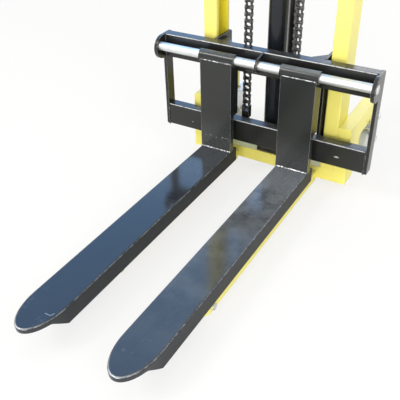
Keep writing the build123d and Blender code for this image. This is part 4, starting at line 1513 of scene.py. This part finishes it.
@dataclass
class PumpTrim:
    """Cap screws, plug, cap ridges and pedal pad of the pump.

    The heights of a ridge's rings are shares of the cap's height.
    """

    screw: Rings = ((0.0055, 0.0), (0.0055, 0.0045), (0.00473, 0.0055), (0.003025, 0.0055),
                    (0.00275, 0.003))
    screw_inset: float = 0.009
    relief: Hex = Hex(0.017, 0.008, 0.0125)
    ridge: Rings = ((0.0011, 0.15), (0.0014, 0.25), (0.0014, 0.85), (0.0008, 0.93))
    ridges: int = 18
    pad: float = 0.0105
    pad_groove: float = 0.0015
    pad_length: float = 0.034
    pad_over: float = 0.001
    pad_ribs: int = 6

    def build(self) -> None:
        """Model the screws, the plug, the ridges and the pad."""
        low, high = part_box("pump_body")
        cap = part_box("pump_filler_cap")
        top = cap[0].z
        head = Bench.turned("cap_screw", self.screw, sides=16)
        front, back = low.y + self.screw_inset, high.y - self.screw_inset
        left, right = low.x + self.screw_inset, -low.x - self.screw_inset
        spots = [Vector((x, y, top)) for x, y in ((right, front), (right, back), (left, front))]
        self.screws = Bench.copies("pump_cap_screws", head, stood(spots))
        plug = Bench.hex_head("relief_plug", self.relief)
        side = Vector((low.x, (low.y + high.y) / 2, (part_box("pump_shelf")[1].z + top) / 2))
        self.plug = Bench.copies("pump_relief_plug", plug, [aimed(side, (-1, 0, 0))])
        self.ridged = self.cap_ridges(cap)
        self.sleeve = self.pedal_pad(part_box("pump_release_lever"))

    def cap_ridges(self, cap: Box) -> bpy.types.Object:
        """Upright ridges round the filler cap.

        Args:
            cap: Box of the cap.

        Returns:
            The ridges as one piece.
        """
        x, y, _ = middle_of(cap)
        radius = (cap[1].x - cap[0].x) / 2
        tall = cap[1].z - cap[0].z
        ridge = Bench.turned("cap_ridge", [(wide, tall * share) for wide, share in self.ridge], sides=8)
        turns = [2 * math.pi * k / self.ridges for k in range(self.ridges)]
        spots = [Vector((x + radius * math.cos(a), y + radius * math.sin(a), cap[0].z)) for a in turns]
        return Bench.copies("filler_cap_ridges", ridge, stood(spots))

    def pedal_pad(self, lever: Box) -> bpy.types.Object:
        """Ribbed rubber sleeve over the end of the release lever.

        Args:
            lever: Box of the lever.

        Returns:
            The sleeve.
        """
        sleeve = Bench.ribbed("release_pedal_pad", self.pad, self.pad_groove, self.pad_length,
                              self.pad_ribs, sides=18)
        end = middle_of(lever)
        end.y = lever[1].y - self.pad_length + self.pad_over
        sleeve.data.transform(aimed(end, (0, 1, 0)))
        return sleeve

    def dress(self) -> None:
        """Zinc screws, red ridges, rubber pad."""
        fixed(self.screws, Paint.ZINC, "frame")
        fixed(self.plug, Paint.ZINC, "frame")
        fixed(self.ridged, Paint.RED, "frame")
        fixed(self.sleeve, Paint.RUBBER, "release")


@dataclass
class LeverTrim:
    """Grip and pivot nuts of the pump lever."""

    grip: float = 0.0158
    groove: float = 0.0017
    half: float = 0.105
    ribs: int = 22
    tube: float = 0.012
    nut: Hex = Hex(0.019, 0.009, 0.013)
    pivot: float = 0.018

    def build(self) -> None:
        """Model the ribbed grip and the pivot nuts."""
        low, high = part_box("lever_handle")
        y = (low.y + high.y) / 2
        self.sleeve = Bench.ribbed("lever_grip", self.grip, self.groove, 2 * self.half, self.ribs,
                                   sides=22)
        self.sleeve.data.transform(aimed(Vector((-self.half, y, high.z - self.tube)), (1, 0, 0)))
        low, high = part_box("pump_lever")
        z = low.z + self.pivot
        places = [aimed(Vector((x, y, z)), (way, 0, 0)) for x, way in ((low.x, -1), (high.x, 1))]
        self.nuts = Bench.copies("lever_pivot_nuts", Bench.hex_head("pivot_nut", self.nut), places)

    def dress(self) -> None:
        """Rubber grip and zinc nuts."""
        fixed(self.sleeve, Paint.RUBBER, "lever")
        fixed(self.nuts, Paint.ZINC, "lever")


@dataclass
class CasterTrim:
    """Plate bolts, axle nuts and pedal ribs of one caster."""

    side: Side
    nut: float = 0.0206
    nut_flat: float = 0.0058
    nut_top: float = 0.0068
    nut_sunk: float = 0.0062
    bolt: Hex = Hex(0.010, 0.0055, 0.0062)
    bolt_inset: float = 0.011
    rib: float = 0.0016
    rib_end: float = 0.001
    rib_gap: float = 0.007
    rib_first: float = 0.003
    rib_pitch: float = 0.005
    rows: int = 3

    def build(self) -> None:
        """Model the fasteners and the ribs."""
        word = self.side.word
        middle = middle_of(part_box(f"caster_wheel_{word}"))
        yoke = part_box(f"caster_yoke_{word}")
        corner = self.nut / math.sqrt(3)
        rings = [(corner, 0), (corner, self.nut_flat), (self.nut / 2, self.nut_top)]
        nut = Bench.turned("axle_nut", rings, sides=6)
        places = [aimed(Vector((end.x - self.nut_sunk * way, middle.y, middle.z)), (way, 0, 0))
                  for end, way in zip(yoke, (-1, 1))]
        self.nuts = Bench.copies(f"caster_axle_nuts_{word}", nut, places)
        low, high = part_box("caster_plates")
        out = high.x - middle.x * self.side.value - self.bolt.washer
        head = Bench.hex_head("plate_bolt", self.bolt)
        spots = [Vector((middle.x + sign * out, y, high.z)) for sign in (-1, 1)
                 for y in (low.y + self.bolt_inset, high.y - self.bolt_inset)]
        self.bolts = Bench.copies(f"caster_plate_bolts_{word}", head, stood(spots))
        self.ribs = self.pedal_ribs(*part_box(f"caster_brake_{word}"))

    def pedal_ribs(self, low: Vector, high: Vector) -> bpy.types.Object:
        """Raised ribs on the tread of the brake pedal.

        Args:
            low: Lowest corner of the pedal's box.
            high: Highest corner.

        Returns:
            The ribs as one piece.
        """
        length = high.x - low.x - 2 * self.rib_gap
        rings = [(self.rib / 2, 0), (self.rib, self.rib_end), (self.rib, length - self.rib_end),
                 (self.rib / 2, length)]
        rib = Bench.turned("pedal_rib", rings, sides=8)
        rows = [high.y - self.rib_first - self.rib_pitch * k for k in range(self.rows)]
        places = [aimed(Vector((low.x + self.rib_gap, y, high.z)), (1, 0, 0)) for y in rows]
        return Bench.copies(f"caster_brake_ribs_{self.side.word}", rib, places)

    def dress(self) -> None:
        """Zinc fasteners and ribs."""
        fixed(self.nuts, Paint.ZINC, f"caster_{self.side.word}")
        fixed(self.bolts, Paint.ZINC, "frame")
        fixed(self.ribs, Paint.ZINC, f"brake_{self.side.word}")


def main() -> None:
    """Build the studio, dress the nodes and add the details."""
    logging.basicConfig(level=logging.INFO, format="%(message)s")
    Studio().build()
    dress_nodes()
    groups = [LiftChains(), CarriageTrim(), MastTrim(), CylinderTrim(), PumpTrim(), LeverTrim()]
    groups += [kind(side) for kind in (ForkTrim, CasterTrim) for side in Side]
    for group in groups:
        group.build()
        group.dress()


if __name__ == "__main__":
    main()
